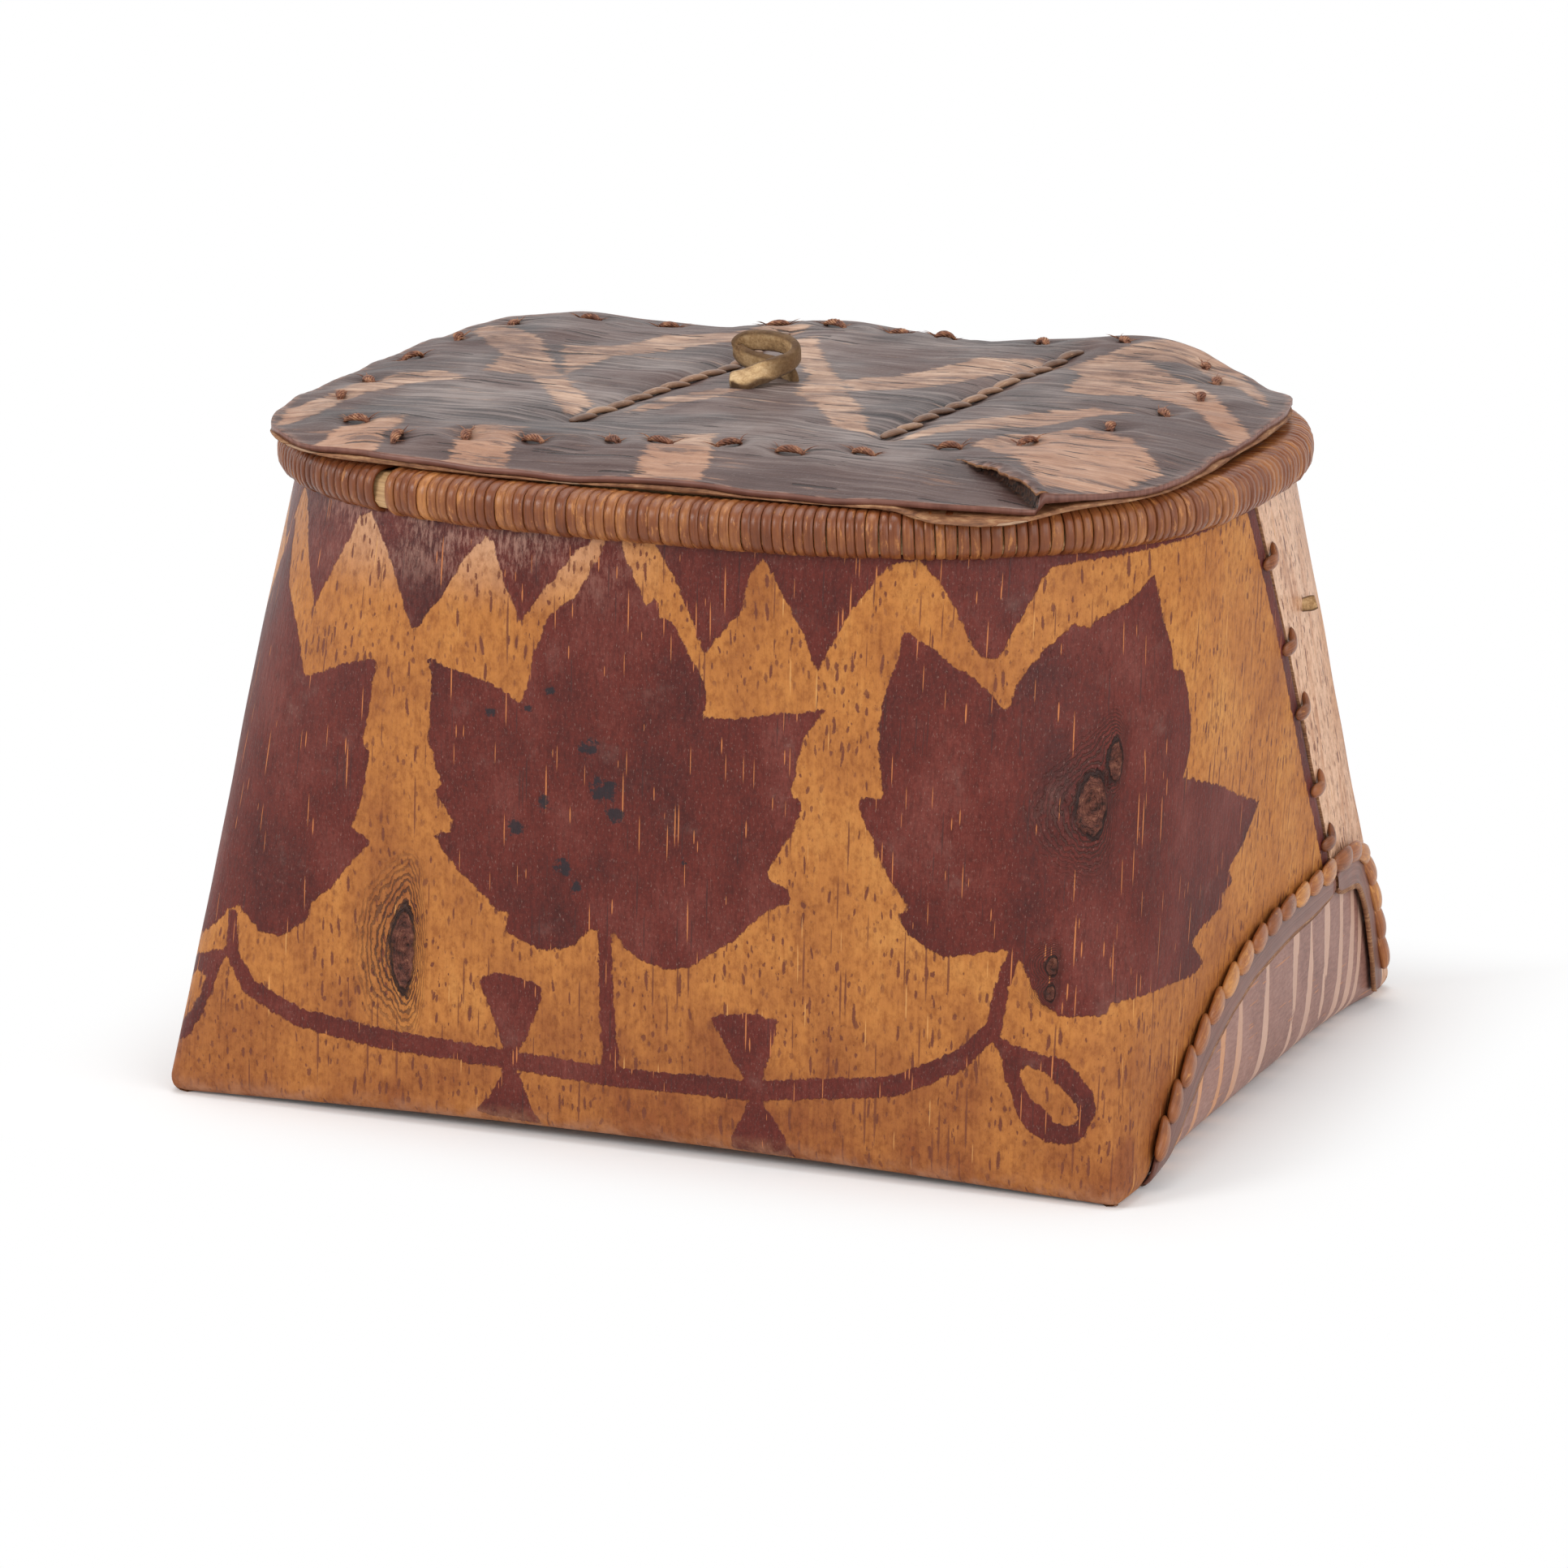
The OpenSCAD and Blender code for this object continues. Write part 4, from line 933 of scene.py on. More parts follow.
def wallGrid(back):
    # direction and height of every point of a wall: wing, panel, wing, each column a straight ruling
    side = 1 if back else -1
    corner = endAngle(np.array(side * tongue["footY"]), np.array(0.0))
    steps = np.linspace(0, 1, bark["rows"] + 1) ** 1.25
    share = np.linspace(0, 1, bark["wingColumns"] + 1)[1:] ** 0.75
    low = edgeLine(side * (1 - share), tongue["cutGap"] / 2 * np.minimum(1, 8 * share))
    low[:, 0] += side * tongue["slot"] / 2 * share ** 6
    low[:, 1] = np.maximum(low[:, 1], 0)
    mouthY = sectionPoint(corner, np.array(bark["height"]))[1]
    topY = mouthY + (tongue["seamTop"] + side * tongue["slot"] / 2 - mouthY) * share
    y = low[:, :1] + (topY[:, None] - low[:, :1]) * steps
    z = low[:, 1:] + (bark["height"] - low[:, 1:]) * steps
    wing = endAngle(y, z)
    first, last = (corner, np.pi - corner) if back else (-np.pi - corner, corner)
    many = np.linspace(first, last, 1201)
    run = runAlong(sectionPoint(many, np.full(len(many), 110.0)))
    panel = np.interp(np.linspace(0, run[-1], bark["panelColumns"] + 1), run, many)
    panel = np.broadcast_to(panel[:, None], (len(panel), len(steps)))
    far = (np.pi if back else -np.pi) - wing
    sides = (wing[::-1], far) if back else (far[::-1], wing)
    a = np.concatenate([sides[0], panel, sides[1]])
    z = np.concatenate([z[::-1], np.broadcast_to(steps * bark["height"], panel.shape), z])
    return a, z


def wallShell(name, back):
    # the wall's point for each direction and height, moved out by slow waves and by the knots
    a, z = wallGrid(back)
    p = wallRun(-np.abs(a) if back else a, z)
    flat = -p / design["backSqueeze"] if back else p
    rind = designBy(flat, z)
    atEnd = np.abs(np.cos(a)) > 0.6
    gap = (seamLine(z) - sectionPoint(a, z)[..., 1]) * (-0.9 if back else 0.9)
    # pale pink: a painted highlight high on the panel's left; the back wings get their own pale colour below
    paleWingAndSheen = 0.5 * smoothStep(z, 160, 186) * smoothStep(flat, 20, -40) * smoothStep(flat, -150, -90)
    if back:
        # the back wings are pale and keep a scraped margin along the seam
        rind = np.where(atEnd, np.maximum(np.minimum(rind, gap - 9), np.minimum(z - 186, 3)), rind)
        paleWingAndSheen = np.where(atEnd, 0.95 * smoothStep(gap + 9 * ripple(p, z, 71, 5, 60.0), 62, 22), paleWingAndSheen)
        knot = np.hypot((flat - design["backKnot"][0]) / 5, (z - design["backKnot"][1]) / 9)
        blots = np.full(np.shape(p), -1.0)
    else:
        rind = np.where(atEnd, np.maximum(rind, design["seamMargin"] + tongue["slot"] / 2 - gap), rind)
        knot = knotsBy(flat, z)
        blots = blotsBy(flat, z)
    # hand-made unevenness, knots that stand proud with a sunk eye
    n = 0.45 * ripple(p, z, 5 + back, 6, 120.0) * smoothStep(z, 0, 30) * smoothStep(z, 186, 160)
    lumps = 1 + 0.7 * ripple(p, z, 15, 7, 11.0)
    n = n + 1.3 * lumps * hill(knot, 0.9, 0.5)
    n = n + 0.35 * np.sin(9 * knot) * smoothStep(knot, 2.2, 1.2) * smoothStep(knot, 0.9, 1.2)
    s = bark["innerStep"]
    inside = wallPoint(a[::s, ::s], np.maximum(z[::s, ::s], bark["thick"]), -bark["thick"])
    polish = smoothStep(z, 110, 180) * smoothStep(flat, 150, 60) - 0.6 * smoothStep(flat, 110, 180)
    # darker towards the bottom, in a patch low on the wall and in a small spot at one foot
    darken = 0.8 * smoothStep(z, 75, 5) + 0.9 * spot(p, z, design["darkenAt"])
    darken = darken + 2.2 * spot(flat, z, design["footDarkAt"])
    shellPiece(name, settled(wallPoint(a, z, n)), settled(inside), s, "basket",
               [wallBark, innerBark, cutBark], "bark_sheet",
               {"rindBy": rind, "knotBy": knot, "blotBy": blots, "paleWingAndSheenBy": paleWingAndSheen,
                "scuffBy": 0.8 * smoothStep(z, 9, 0.5), "darkenBy": darken, "polishBy": polish},
               (p + (900 if back else 0), z))


wallShell("barkFront", False)
wallShell("barkBack", True)

# pale stripes scraped on the folded ends: y of each, and half its width
tongueStripes = {
    "places": [-88, -75, -60, -41, -25, 0, 28, 44, 60, 76, 88, 97],
    "halfWide": 2.4,
    "warmBelow": -30.0,
}


def tongueShell(name, mirror):
    # columns along the tongue's edge, each from the base up to the edge
    s = np.linspace(-0.985, 0.985, tongue["columns"] + 1)
    edge = edgeLine(s, -tongue["cutGap"] / 2)
    steps = np.linspace(0, 1, tongue["rows"] + 1)
    y = np.broadcast_to(edge[:, :1], (len(s), len(steps)))
    z = np.maximum(edge[:, 1:], 0.4) * steps
    k = bark["innerStep"]
    inside = endPoint(y[::k, ::k], z[::k, ::k], -bark["thick"])
    inside[..., 2] = np.maximum(inside[..., 2], bark["thick"])
    bend = y + 10 * np.maximum(0, 1 - z / 46) ** 2
    stripe = np.maximum.reduce([tongueStripes["halfWide"] * (1 + 0.25 * np.sin(z / 9 + c)) - np.abs(bend - c)
                                for c in tongueStripes["places"]])
    warm = smoothStep(y, tongueStripes["warmBelow"] + 12, tongueStripes["warmBelow"] - 12)
    shellPiece(name, endPoint(y, z, 0.25 * ripple(y, z, 9, 5, 70.0)), inside, k, "basket",
               [tongueBark, innerBark, cutBark], "bark_sheet", {"stripeBy": stripe, "warmBy": warm},
               (y + (500 if mirror else 0), z), mirror)


tongueShell("tongueRight", False)
tongueShell("tongueLeft", True)

# the floor: rings and columns of its grid, and what it has of the wall's finish
barkFloor = {
    "columns": 240,
    "rings": 26,
    "middle": 0.03,
    "values": {"rindBy": -20, "knotBy": 9, "blotBy": -1, "paleWingAndSheenBy": 0.3, "scuffBy": 0.35, "darkenBy": 0.5,
               "polishBy": 0},
}


def floorShell():
    # rings from the middle out to the fold, above and below
    nu, nv = barkFloor["columns"], barkFloor["rings"]
    a = np.linspace(0, 2 * np.pi, nu + 1)[:-1]
    share = np.linspace(barkFloor["middle"], 1, nv)
    inward = np.stack([share, share, np.ones(nv)], -1)
    under = wallPoint(a, 0.0, 0.3)[:, None] * inward
    over = wallPoint(a, bark["thick"], -0.2)[:, None] * inward
    over[..., 2] += 0.5 * ripple(over[..., 0], over[..., 1], 21, 6, 140.0) * (1 - share) - 0.2
    half = nu * nv
    low = gridQuads(nu, nv, closeU=True, flip=True)
    high = gridQuads(nu, nv, closeU=True, start=half)
    inner = np.arange(nu) * nv
    after = np.roll(inner, -1)
    outer, outerAfter = inner + nv - 1, after + nv - 1
    sides = np.stack([outer, outerAfter, half + outerAfter, half + outer], -1)
    centre = np.full(nu, 2 * half)
    fanLow = np.stack([after, inner, centre], -1)
    fanHigh = np.stack([half + inner, half + after, centre + 1], -1)
    middles = np.stack([under[:, 0].mean(0), over[:, 0].mean(0)])
    points = settled(np.vstack([under.reshape(-1, 3), over.reshape(-1, 3), middles]))
    addPiece("barkFloor", points, [(low, 0), (fanLow, 0), (high, 1), (fanHigh, 1), (sides, 0)], "basket",
             [wallBark, innerBark], "bark_sheet",
             {key: np.full(len(points), value) for key, value in barkFloor["values"].items()}, points[:, :2])


floorShell()

# bark bands over the cut along each tongue
bands = {
    "width": 12.0,
    "over": 0.8,
    "thick": 1.8,
    "gap": 3.0,
    "reach": 0.85,
    "lift": 0.4,
    "floor": 0.6,
    "backCurl": 0.9,
    "steps": 90,
    "sides": 20,
}

ends = ((False, "right"), (True, "left"))


def edgeShare(length, span):
    # share of the edge's parameter that covers this run from the peak
    return 1 - np.sqrt(max(0.0, 1 - length / span))


frontEnd = -edgeShare(bands["gap"] / 2, tongue["peak"] + tongue["footY"])
backEnd = edgeShare(bands["gap"] / 2, tongue["footY"] - tongue["peak"])


def bandPiece(name, node, start, stop, mirror, curl):
    # a flat rounded section carried along the edge: across the band, and out from the wall
    m = bands["sides"]
    s = np.linspace(start, stop, bands["steps"] + 1)
    across, upward = oblong(ring(m), 5)
    out = bands["lift"] + bands["thick"] / 2 * (1 + upward)
    narrow = np.sqrt(np.clip(1 - (np.abs(np.linspace(-1, 1, len(s))) ** 7), 0, 1))[:, None]
    curl = curl * smoothStep(np.linspace(0, 1, len(s)), 0.04, 0.35)[:, None]
    off = bands["over"] - bands["width"] / 2 + bands["width"] / 2 * across * (0.35 + 0.65 * narrow)
    line = edgeLine(np.repeat(s[:, None], m, 1), off)
    y, z = line[..., 0], np.maximum(line[..., 1], bands["floor"])
    n = out + 0.25 * ripple(y, z, 31, 4, 30.0) + curl * smoothStep(across, -0.2, -1.0)
    quads = gridQuads(len(s), m, closeV=True, flip=True)
    side = np.arange(m)
    cut = np.tile((side >= 7) & (side <= 11), len(s) - 1)
    caps = np.stack([side[::-1], side + bands["steps"] * m])[:, ::-1]
    addPiece(name, endPoint(y, z, n), [(quads[~cut], 0), (quads[cut], 1), (caps, 1)], "basket",
             [bandBark, cutBark], node, None, np.stack([np.repeat(s[:, None] * 110, m, 1), off], -1), mirror)


for mirror, word in ends:
    bandPiece("frontBand" + word.title(), "front_band_" + word, -bands["reach"], frontEnd, mirror, 0.0)
    bandPiece("backBand" + word.title(), "back_band_" + word, backEnd, bands["reach"], mirror,
              bands["backCurl"])


# root whip stitches along the bands, in scales that overlap like beans in a row
edgeStitches = {
    "front": 13,
    "back": 7,
    "reach": 0.78,
    "halfLong": 8.2,
    "halfWide": 3.4,
    "halfThick": 1.7,
    "slant": -0.4,
    "offset": 1.0,
    "lowOffset": 2.6,
    "lift": 1.5,
    "rings": 17,
    "sides": 12,
}


def strandPiece(name, node, tubes, tones, mirror=False, body="basket", finish=stitchRoot):
    # closed strands in one mesh; run along each strand and round it gives the sheet measures
    points, quads, caps = closedTubes(tubes)
    shape = np.shape(tubes)[:3]
    count, n, m = shape
    along = np.linspace(0, 20, n)[None, :, None] + 37 * np.arange(count)[:, None, None]
    uv = np.stack([np.broadcast_to(part, shape) for part in (along, aroundBy(m) * 1.3)], -1)
    tone = np.broadcast_to(np.asarray(tones)[:, None, None], shape)
    addPiece(name, points, [(quads, 0), (caps, 0)], body, [finish], node, {"tone": tone}, uv,
             mirror)


def edgeBeans(start, stop, count, uphill):
    # each bean follows the edge, slants across it, is fat in the middle and dips at its upper end
    e = edgeStitches
    s = np.linspace(start, stop, 400)
    run = runAlong(edgeLine(s))
    u = np.linspace(-1, 1, e["rings"])
    fat = np.sqrt(np.clip(1 - np.abs(u) ** 2.6, 0.003, 1))
    tubes = []
    for i in range(count):
        place = run[-1] * (i + 0.5) / count + e["halfLong"] * rng.uniform(0.94, 1.06) * u
        # a bean at an end of the row reaches past it
        at = np.interp(place, run, s)
        at = at + (place - np.interp(at, s, run)) / 140
        off = e["offset"] + e["lowOffset"] * np.minimum(at, 0) ** 2 + e["slant"] * u * rng.uniform(0.8, 1.2)
        line = edgeLine(at, off + 0.5 * np.sin(2 * u))
        n = e["lift"] + 1.1 * (1 - u ** 2) - 0.85 * u * uphill
        path = endPoint(line[:, 0], np.maximum(line[:, 1], 1.2), n)
        wide = e["halfWide"] * fat * (1 - 0.16 * u * uphill) * rng.uniform(0.92, 1.08)
        tubes.append(tubePoints(path, wide, e["halfThick"] * fat, e["sides"], 2.2, (1, 0, 0.05)))
    return tubes


for mirror, word in ends:
    for kind, start, stop, uphill in (("front", -edgeStitches["reach"], frontEnd, 1),
                                      ("back", backEnd, edgeStitches["reach"], -1)):
        beans = edgeBeans(start, stop, edgeStitches[kind], uphill)
        strandPiece(kind + "Stitches" + word.title(), kind + "_stitches_" + word, beans,
                    rng.uniform(0.35, 0.72, len(beans)), mirror)

# comma-shaped wraps across the open seam
seamStitches = {
    "heights": [67.0, 87.0, 115.0, 138.0, 168.0],
    "halfLong": 5.6,
    "hook": 3.8,
    "half": 1.9,
}


def seamWraps():
    # across the slot, then hooked upwards, sunk at both ends
    e = seamStitches
    u = np.linspace(-1, 1, 21)
    fat = np.sqrt(np.clip(1 - np.abs(u) ** 4, 0.01, 1))
    tubes = []
    for height in e["heights"]:
        y = seamLine(height) + e["halfLong"] * u * np.where(u > 0, 0.8, 1)
        z = height + 1.0 * u + e["hook"] * np.maximum(u, 0) ** 2
        path = endPoint(y, z, 0.3 + 1.7 * (1 - u ** 2))
        tubes.append(tubePoints(path, e["half"] * fat * (1.1 - 0.25 * u), 1.3 * fat, 12, 2.2, (1, 0, 0.05)))
    return tubes


for mirror, word in ends:
    strandPiece("seamStitches" + word.title(), "seam_stitches_" + word, seamWraps(),
                rng.uniform(0.2, 0.45, len(seamStitches["heights"])), mirror)

# split root wound over the rim
rim = {
    "middleOut": -1.1,
    "middleUp": 194.75,
    "halfOut": 7.9,
    "halfUp": 6.65,
    "turns": 280,
    "steps": 22,
    "sides": 10,
    "gapAt": 233.8,
    "gap": 5.2,
    "halfThick": 0.82,
    "paleTurns": (4, 54, 86, 123, 157, 209),
}


def rimLashing():
    # a helix: round the rounded section of the rim once a turn while it travels along the mouth
    turns = rim["turns"]
    turn = np.linspace(0, turns, turns * rim["steps"] + 1)

    def perTurn(values):
        return np.interp(turn, np.arange(len(values)), values)

    many = np.linspace(0, 2 * np.pi, 4001) + np.radians(rim["gapAt"])
    run = runAlong(wallPoint(many, rim["middleUp"], rim["middleOut"]))
    widths = rng.uniform(0.78, 1.22, turns + 2)
    widths[:-1] *= (turns + 1) / widths[:-1].sum()
    travel = perTurn(np.concatenate([[0], np.cumsum(widths)]))
    travel = travel / travel[-1]
    length = run[-1] - rim["gap"]
    pitch = length / turns
    t = 2 * np.pi * turn - np.pi / 2
    across, upward = oblong(t, 2.7)
    a = np.interp(rim["gap"] / 2 + travel * length - pitch / 4 * np.sin(t), run, many)
    thick = rim["halfThick"] * perTurn(rng.uniform(0.85, 1.2, turns + 2))
    lift = perTurn(rng.normal(0, 0.12, turns + 2))
    middle = wallPoint(a, rim["middleUp"], rim["middleOut"])
    path = wallPoint(a, rim["middleUp"], rim["middleOut"] + (rim["halfOut"] + lift) * across)
    path[:, 2] = rim["middleUp"] + (rim["halfUp"] + lift) * upward
    wide = pitch / 2 * np.interp(turn, np.arange(turns + 1) + 0.5, widths[:-1])
    tube = tubePoints(path, wide, thick, rim["sides"], 3.6, path - middle)
    # a tone for each turn, two lighter stretches, a lighter right end and a few turns worn pale
    share = turn / turns
    tone = perTurn(rng.normal(0.42, 0.075, turns + 2))
    tone = tone + 0.11 * hill(share, 0.056, 0.075) + 0.08 * hill(share, 0.43, 0.094)
    tone = np.clip(tone, 0.1, 0.95) + 0.07 * smoothStep(path[:, 0], 40, 130)
    for pale in rim["paleTurns"]:
        tone = tone + 0.35 * hill(turn, pale, 0.6)
    points, quads, caps = closedTubes(tube[None])
    m = rim["sides"]
    uv = np.stack(np.broadcast_arrays(turn[:, None] * 46, aroundBy(m) * 0.9), -1)
    addPiece("rimLashing", points, [(quads, 0), (caps, 0)], "basket", [rimRoot], "rim_lashing",
             {"tone": np.repeat(tone, m)}, uv)


rimLashing()


# the lid: two layers of bark, in millimetres
lid = {
    "length": 300.0,
    "width": 238.0,
    "power": 4.2,
    "seat": 202.8,
    "backRise": 2.4,
    "wave": 1.3,
    "wavePitch": 98.0,
    "waveShift": 40.0,
    "topLow": 2.0,
    "topHigh": 3.8,
    "underThick": 1.6,
    "step": 2.0,
    "columns": 240,
    "rows": 192,
    "underColumns": 160,
    "underRows": 128,
    "innerStep": 4,
    "puff": 0.8,
    "pillow": 2.0,
    "grooveDepth": 1.8,
    "tearDrop": 2.8,
    "tearLift": 2.6,
    "cornerPull": 0.07,
    "pullAt": (132, 38, 94, 38),
    "cornerDrop": 2.4,
    "dropAt": (140, 30, 98, 34),
    "cornerCurl": 4.0,
    "curlAt": (88, 28, 116, 28),
    "backDent": 2.3,
    "dentAt": (-78, 24, 114, 34),
    "rowLeft": [(-52, -54), (-44, 0), (-38, 41), (-43, 95)],
    "rowRight": [(47, -42), (52, 20), (60, 94)],
    "tear": [(70, -70), (85, -74), (103, -86), (117, -100), (126, -111)],
    "ties": [(-113, -82), (-90, -101), (-70, -94), (-49, -91), (-25, -85), (-11, -81), (11, -80),
             (32, -82), (52, -72), (73, -55), (93, -41), (110, -14), (117, 15), (120, 41), (115, 71),
             (104, 92), (71, 107), (42, 109), (8, 109), (-8, 109), (-31, 109), (-51, 108), (-88, 103),
             (-113, 95), (-132, 75), (-138, 45), (-139, 12), (-138, -22), (-134, -50)],
}

# pale bands scraped across the lid, in plan
lidBands = {
    "outlines": [
        [(-138, 72), (-123, 61), (-111, 50), (-79, -2), (-63, -22), (-55, -33), (-55, -47), (-58, -48),
         (-74, -25), (-92, 1), (-106, -2), (-111, 21), (-129, 44), (-141, 61)],
        [(-100, 45), (-84, 48), (-78, 76), (-60, 86), (-49, 101), (-37, 104), (-40, 72), (-57, 64),
         (-68, 45), (-77, 32), (-81, 8), (-79, -2)],
        [(-138, -89), (-130, -76), (-129, -48), (-119, -26), (-105, -18), (-118, -8), (-131, -14),
         (-139, -27), (-139, -52), (-145, -67)],
        [(-115, -120), (-115, -94), (-110, -81), (-98, -76), (-95, -99), (-89, -123), (-100, -128)],
        [(-61, -132), (-72, -93), (-71, -83), (-58, -78), (-53, -96), (-43, -128)],
        [(-3, -125), (-11, -89), (-11, -73), (0, -65), (11, -94), (20, -125)],
        [(-41, -42), (-37, -16), (-26, -1), (-18, -1), (-24, -21), (-34, -32)],
        [(-33, 76), (-28, 86), (-14, 56), (6, 23), (29, -17), (43, -42), (28, -38), (11, -10), (0, 0),
         (-8, 31), (-26, 56)],
        [(6, 23), (20, 46), (35, 70), (52, 79), (62, 76), (50, 55), (37, 29), (16, 9)],
        [(64, 70), (74, 93), (86, 119), (103, 116), (134, 62), (141, 43), (118, 73), (101, 85), (85, 83),
         (102, 68), (118, 52), (151, 1), (149, -12), (122, 26), (101, 39), (89, 33), (77, 34), (74, 58)],
        [(50, -50), (58, -24), (72, -5), (94, 12), (108, 11), (88, -18), (73, -28), (61, -39)],
        [(79, -51), (84, -36), (102, -18), (122, -27), (142, -58), (137, -91), (117, -96), (103, -73)],
    ],
}


# fibre ties round the lid, each a few twisted strands with loose ends
ties = {
    "strands": 7,
    "halfLong": 4.6,
    "half": 0.44,
    "spread": 1.2,
    "hairs": 7,
    "hole": 1.7,
    "holeAway": 4.4,
    "hairHalf": 0.22,
    "rings": 17,
}

# direction of each tie: along the lid's edge, some of them askew
tieTurns = np.array([np.arctan2(y / 119, x / 150) for x, y in lid["ties"]]) + np.pi / 2
tieTurns = tieTurns + rng.uniform(-0.8, 0.8, len(tieTurns))


def lidLow(x, y):
    # underside of the lid: rises to the back, where it is wavy, with a curl, a dent and a corner that droops
    back = y / lid["width"] + 0.5
    return (lid["seat"] + lid["backRise"] * back + lid["wave"] * np.maximum(back, 0) ** 2
            * (1 + np.cos(2 * np.pi * (x + lid["waveShift"]) / lid["wavePitch"]))
            + lid["cornerCurl"] * spot(x, y, lid["curlAt"]) - lid["backDent"] * spot(x, y, lid["dentAt"])
            - lid["cornerDrop"] * spot(x, y, lid["dropAt"]))


def lidPlan(columns, rows, length, width, rough, seed):
    # a square grid pushed out to a superellipse: each point scaled by its share of the square's edge
    u, v = np.meshgrid(np.linspace(-1, 1, columns + 1), np.linspace(-1, 1, rows + 1), indexing="ij")
    share = np.maximum(np.abs(u), np.abs(v))
    k = share / (np.abs(u) ** lid["power"] + np.abs(v) ** lid["power"] + 1e-12) ** (1 / lid["power"])
    x, y = length / 2 * u * k, width / 2 * v * k
    # hand-cut edge, and the right-hand back corner cut rounder
    grow = 1 + rough * ripple(x, y, seed, 5, 110.0) / 130 * share ** 3
    grow = grow - lid["cornerPull"] * spot(x, y, lid["pullAt"]) * share ** 3
    return x * grow, y * grow, share


def lineDistance(x, y, line):
    # distance to a line: a band of no width along it
    return -alongBy(x, y, line, [0.0] * len(line))


tearLine = np.array(lid["tear"], float)
tearSpan = tearLine[-1] - tearLine[0]
tearAway = np.array([tearSpan[1], -tearSpan[0]]) / np.linalg.norm(tearSpan)
tearShare = (tearLine - tearLine[0]) @ tearSpan / (tearSpan @ tearSpan)
tearBend = (tearLine - tearLine[0]) @ tearAway


def tearBy(x, y):
    # how far along the tear a point is, in shares of its length, and how far in front of it
    dx, dy = x - tearLine[0, 0], y - tearLine[0, 1]
    along = (dx * tearSpan[0] + dy * tearSpan[1]) / (tearSpan @ tearSpan)
    steps = np.linspace(0, 1, 60)
    off = np.interp(along, steps, np.interp(steps, tearShare, tearBend))
    return along, dx * tearAway[0] + dy * tearAway[1] - off


def clearOfUnder(up, share):
    # the upper layer stays above the lower one, except near the edge, where both sink
    return np.maximum(up, -1.8 - 4 * smoothStep(share, 0.85, 0.97))


def lidRelief(x, y, share):
    # height that the hand-made lid adds to the plain sheet
    up = 1.2 * ripple(x, y, 41, 6, 90.0) + 0.22 * ripple(x * 0.25, y, 43, 6, 18.0)
    up = up + lid["puff"] * smoothStep(share, 1.0, 0.78)
    nearest = np.minimum(lineDistance(x, y, lid["rowLeft"]), lineDistance(x, y, lid["rowRight"]))
    up = up + lid["pillow"] * (1 - np.exp(-(nearest / 24) ** 2)) * smoothStep(share, 1.0, 0.7)
    up = up - lid["grooveDepth"] * np.exp(-(nearest / 5.0) ** 2)
    up = up - 0.9 * smoothStep(share, 0.9, 1.0)
    for tx, ty in lid["ties"]:
        d = np.hypot(x - tx, (y - ty) * 1.2)
        up = up - 1.3 * np.exp(-(d / 5.5) ** 2) + 0.4 * np.exp(-((d - 11) / 5) ** 2)
    return clearOfUnder(up, share)


def lidHeight(x, y):
    # top face of the finished lid
    p = lid["power"]
    share = (np.abs(x * 2 / lid["length"]) ** p + np.abs(y * 2 / lid["width"]) ** p) ** (1 / p)
    return lidLow(x, y) + lid["topHigh"] + lidRelief(x, y, share)


def lidTop():
    # the upper layer: the plan's grid at the underside's height, plus the sheet, the relief and the tear
    x, y, share = lidPlan(lid["columns"], lid["rows"], lid["length"], lid["width"], 1.2, 51)
    along, front = tearBy(x, y)
    up = lidRelief(x, y, share)
    opened = smoothStep(along, 0.05, 0.75)
    step = smoothStep(front, -0.3, 0.9)
    # the flap in front of the tear sinks, and the corner behind it stands up a little
    up = up - lid["tearDrop"] * opened * step * np.exp(-np.maximum(front, 0) / 30)
    up = up + lid["tearLift"] * opened * (1 - step) * np.exp(front / 10) * (along < 1.25)
    up = clearOfUnder(up, share)
    # painted shadow along the step of the tear, where the torn edge stands over the sunken flap
    paintedShade = np.sqrt(opened) * hill(front, 0.9, 1.9) * (along < 1.05)
    # painted shade in the holes where the ties go through the bark
    for (tx, ty), turn in zip(lid["ties"], tieTurns):
        for reach in (-ties["holeAway"], ties["holeAway"]):
            hole = (tx + reach * np.cos(turn), ties["hole"], ty + reach * np.sin(turn), ties["hole"])
            paintedShade = np.maximum(paintedShade, 0.85 * spot(x, y, hole))
    low = lidLow(x, y)
    k = lid["innerStep"]
    inside = np.stack([x, y, low + lid["topLow"] + np.minimum(up, 0.3)], -1)[::k, ::k]
    band = np.maximum.reduce([insideBy(x, y, q) for q in lidBands["outlines"]])
    warm = np.maximum(smoothStep(share, 0.9, 1.0) * 0.7, 0.85 * smoothStep(y, -72, -100))
    warm = np.maximum(warm, 0.8 * smoothStep(x, 60, 115) * smoothStep(y, 90, 10))
    shellPiece("lidTop", np.stack([x, y, low + lid["topHigh"] + up], -1), inside, k, "lid",
               [lidBark, innerBark, bandBark], "lid_top_bark",
               {"bandBy": np.clip(band, -30, 30), "warmBy": warm, "paintedShadeBy": paintedShade,
                "rimBy": smoothStep(share, 0.986, 0.999)}, (x, y))


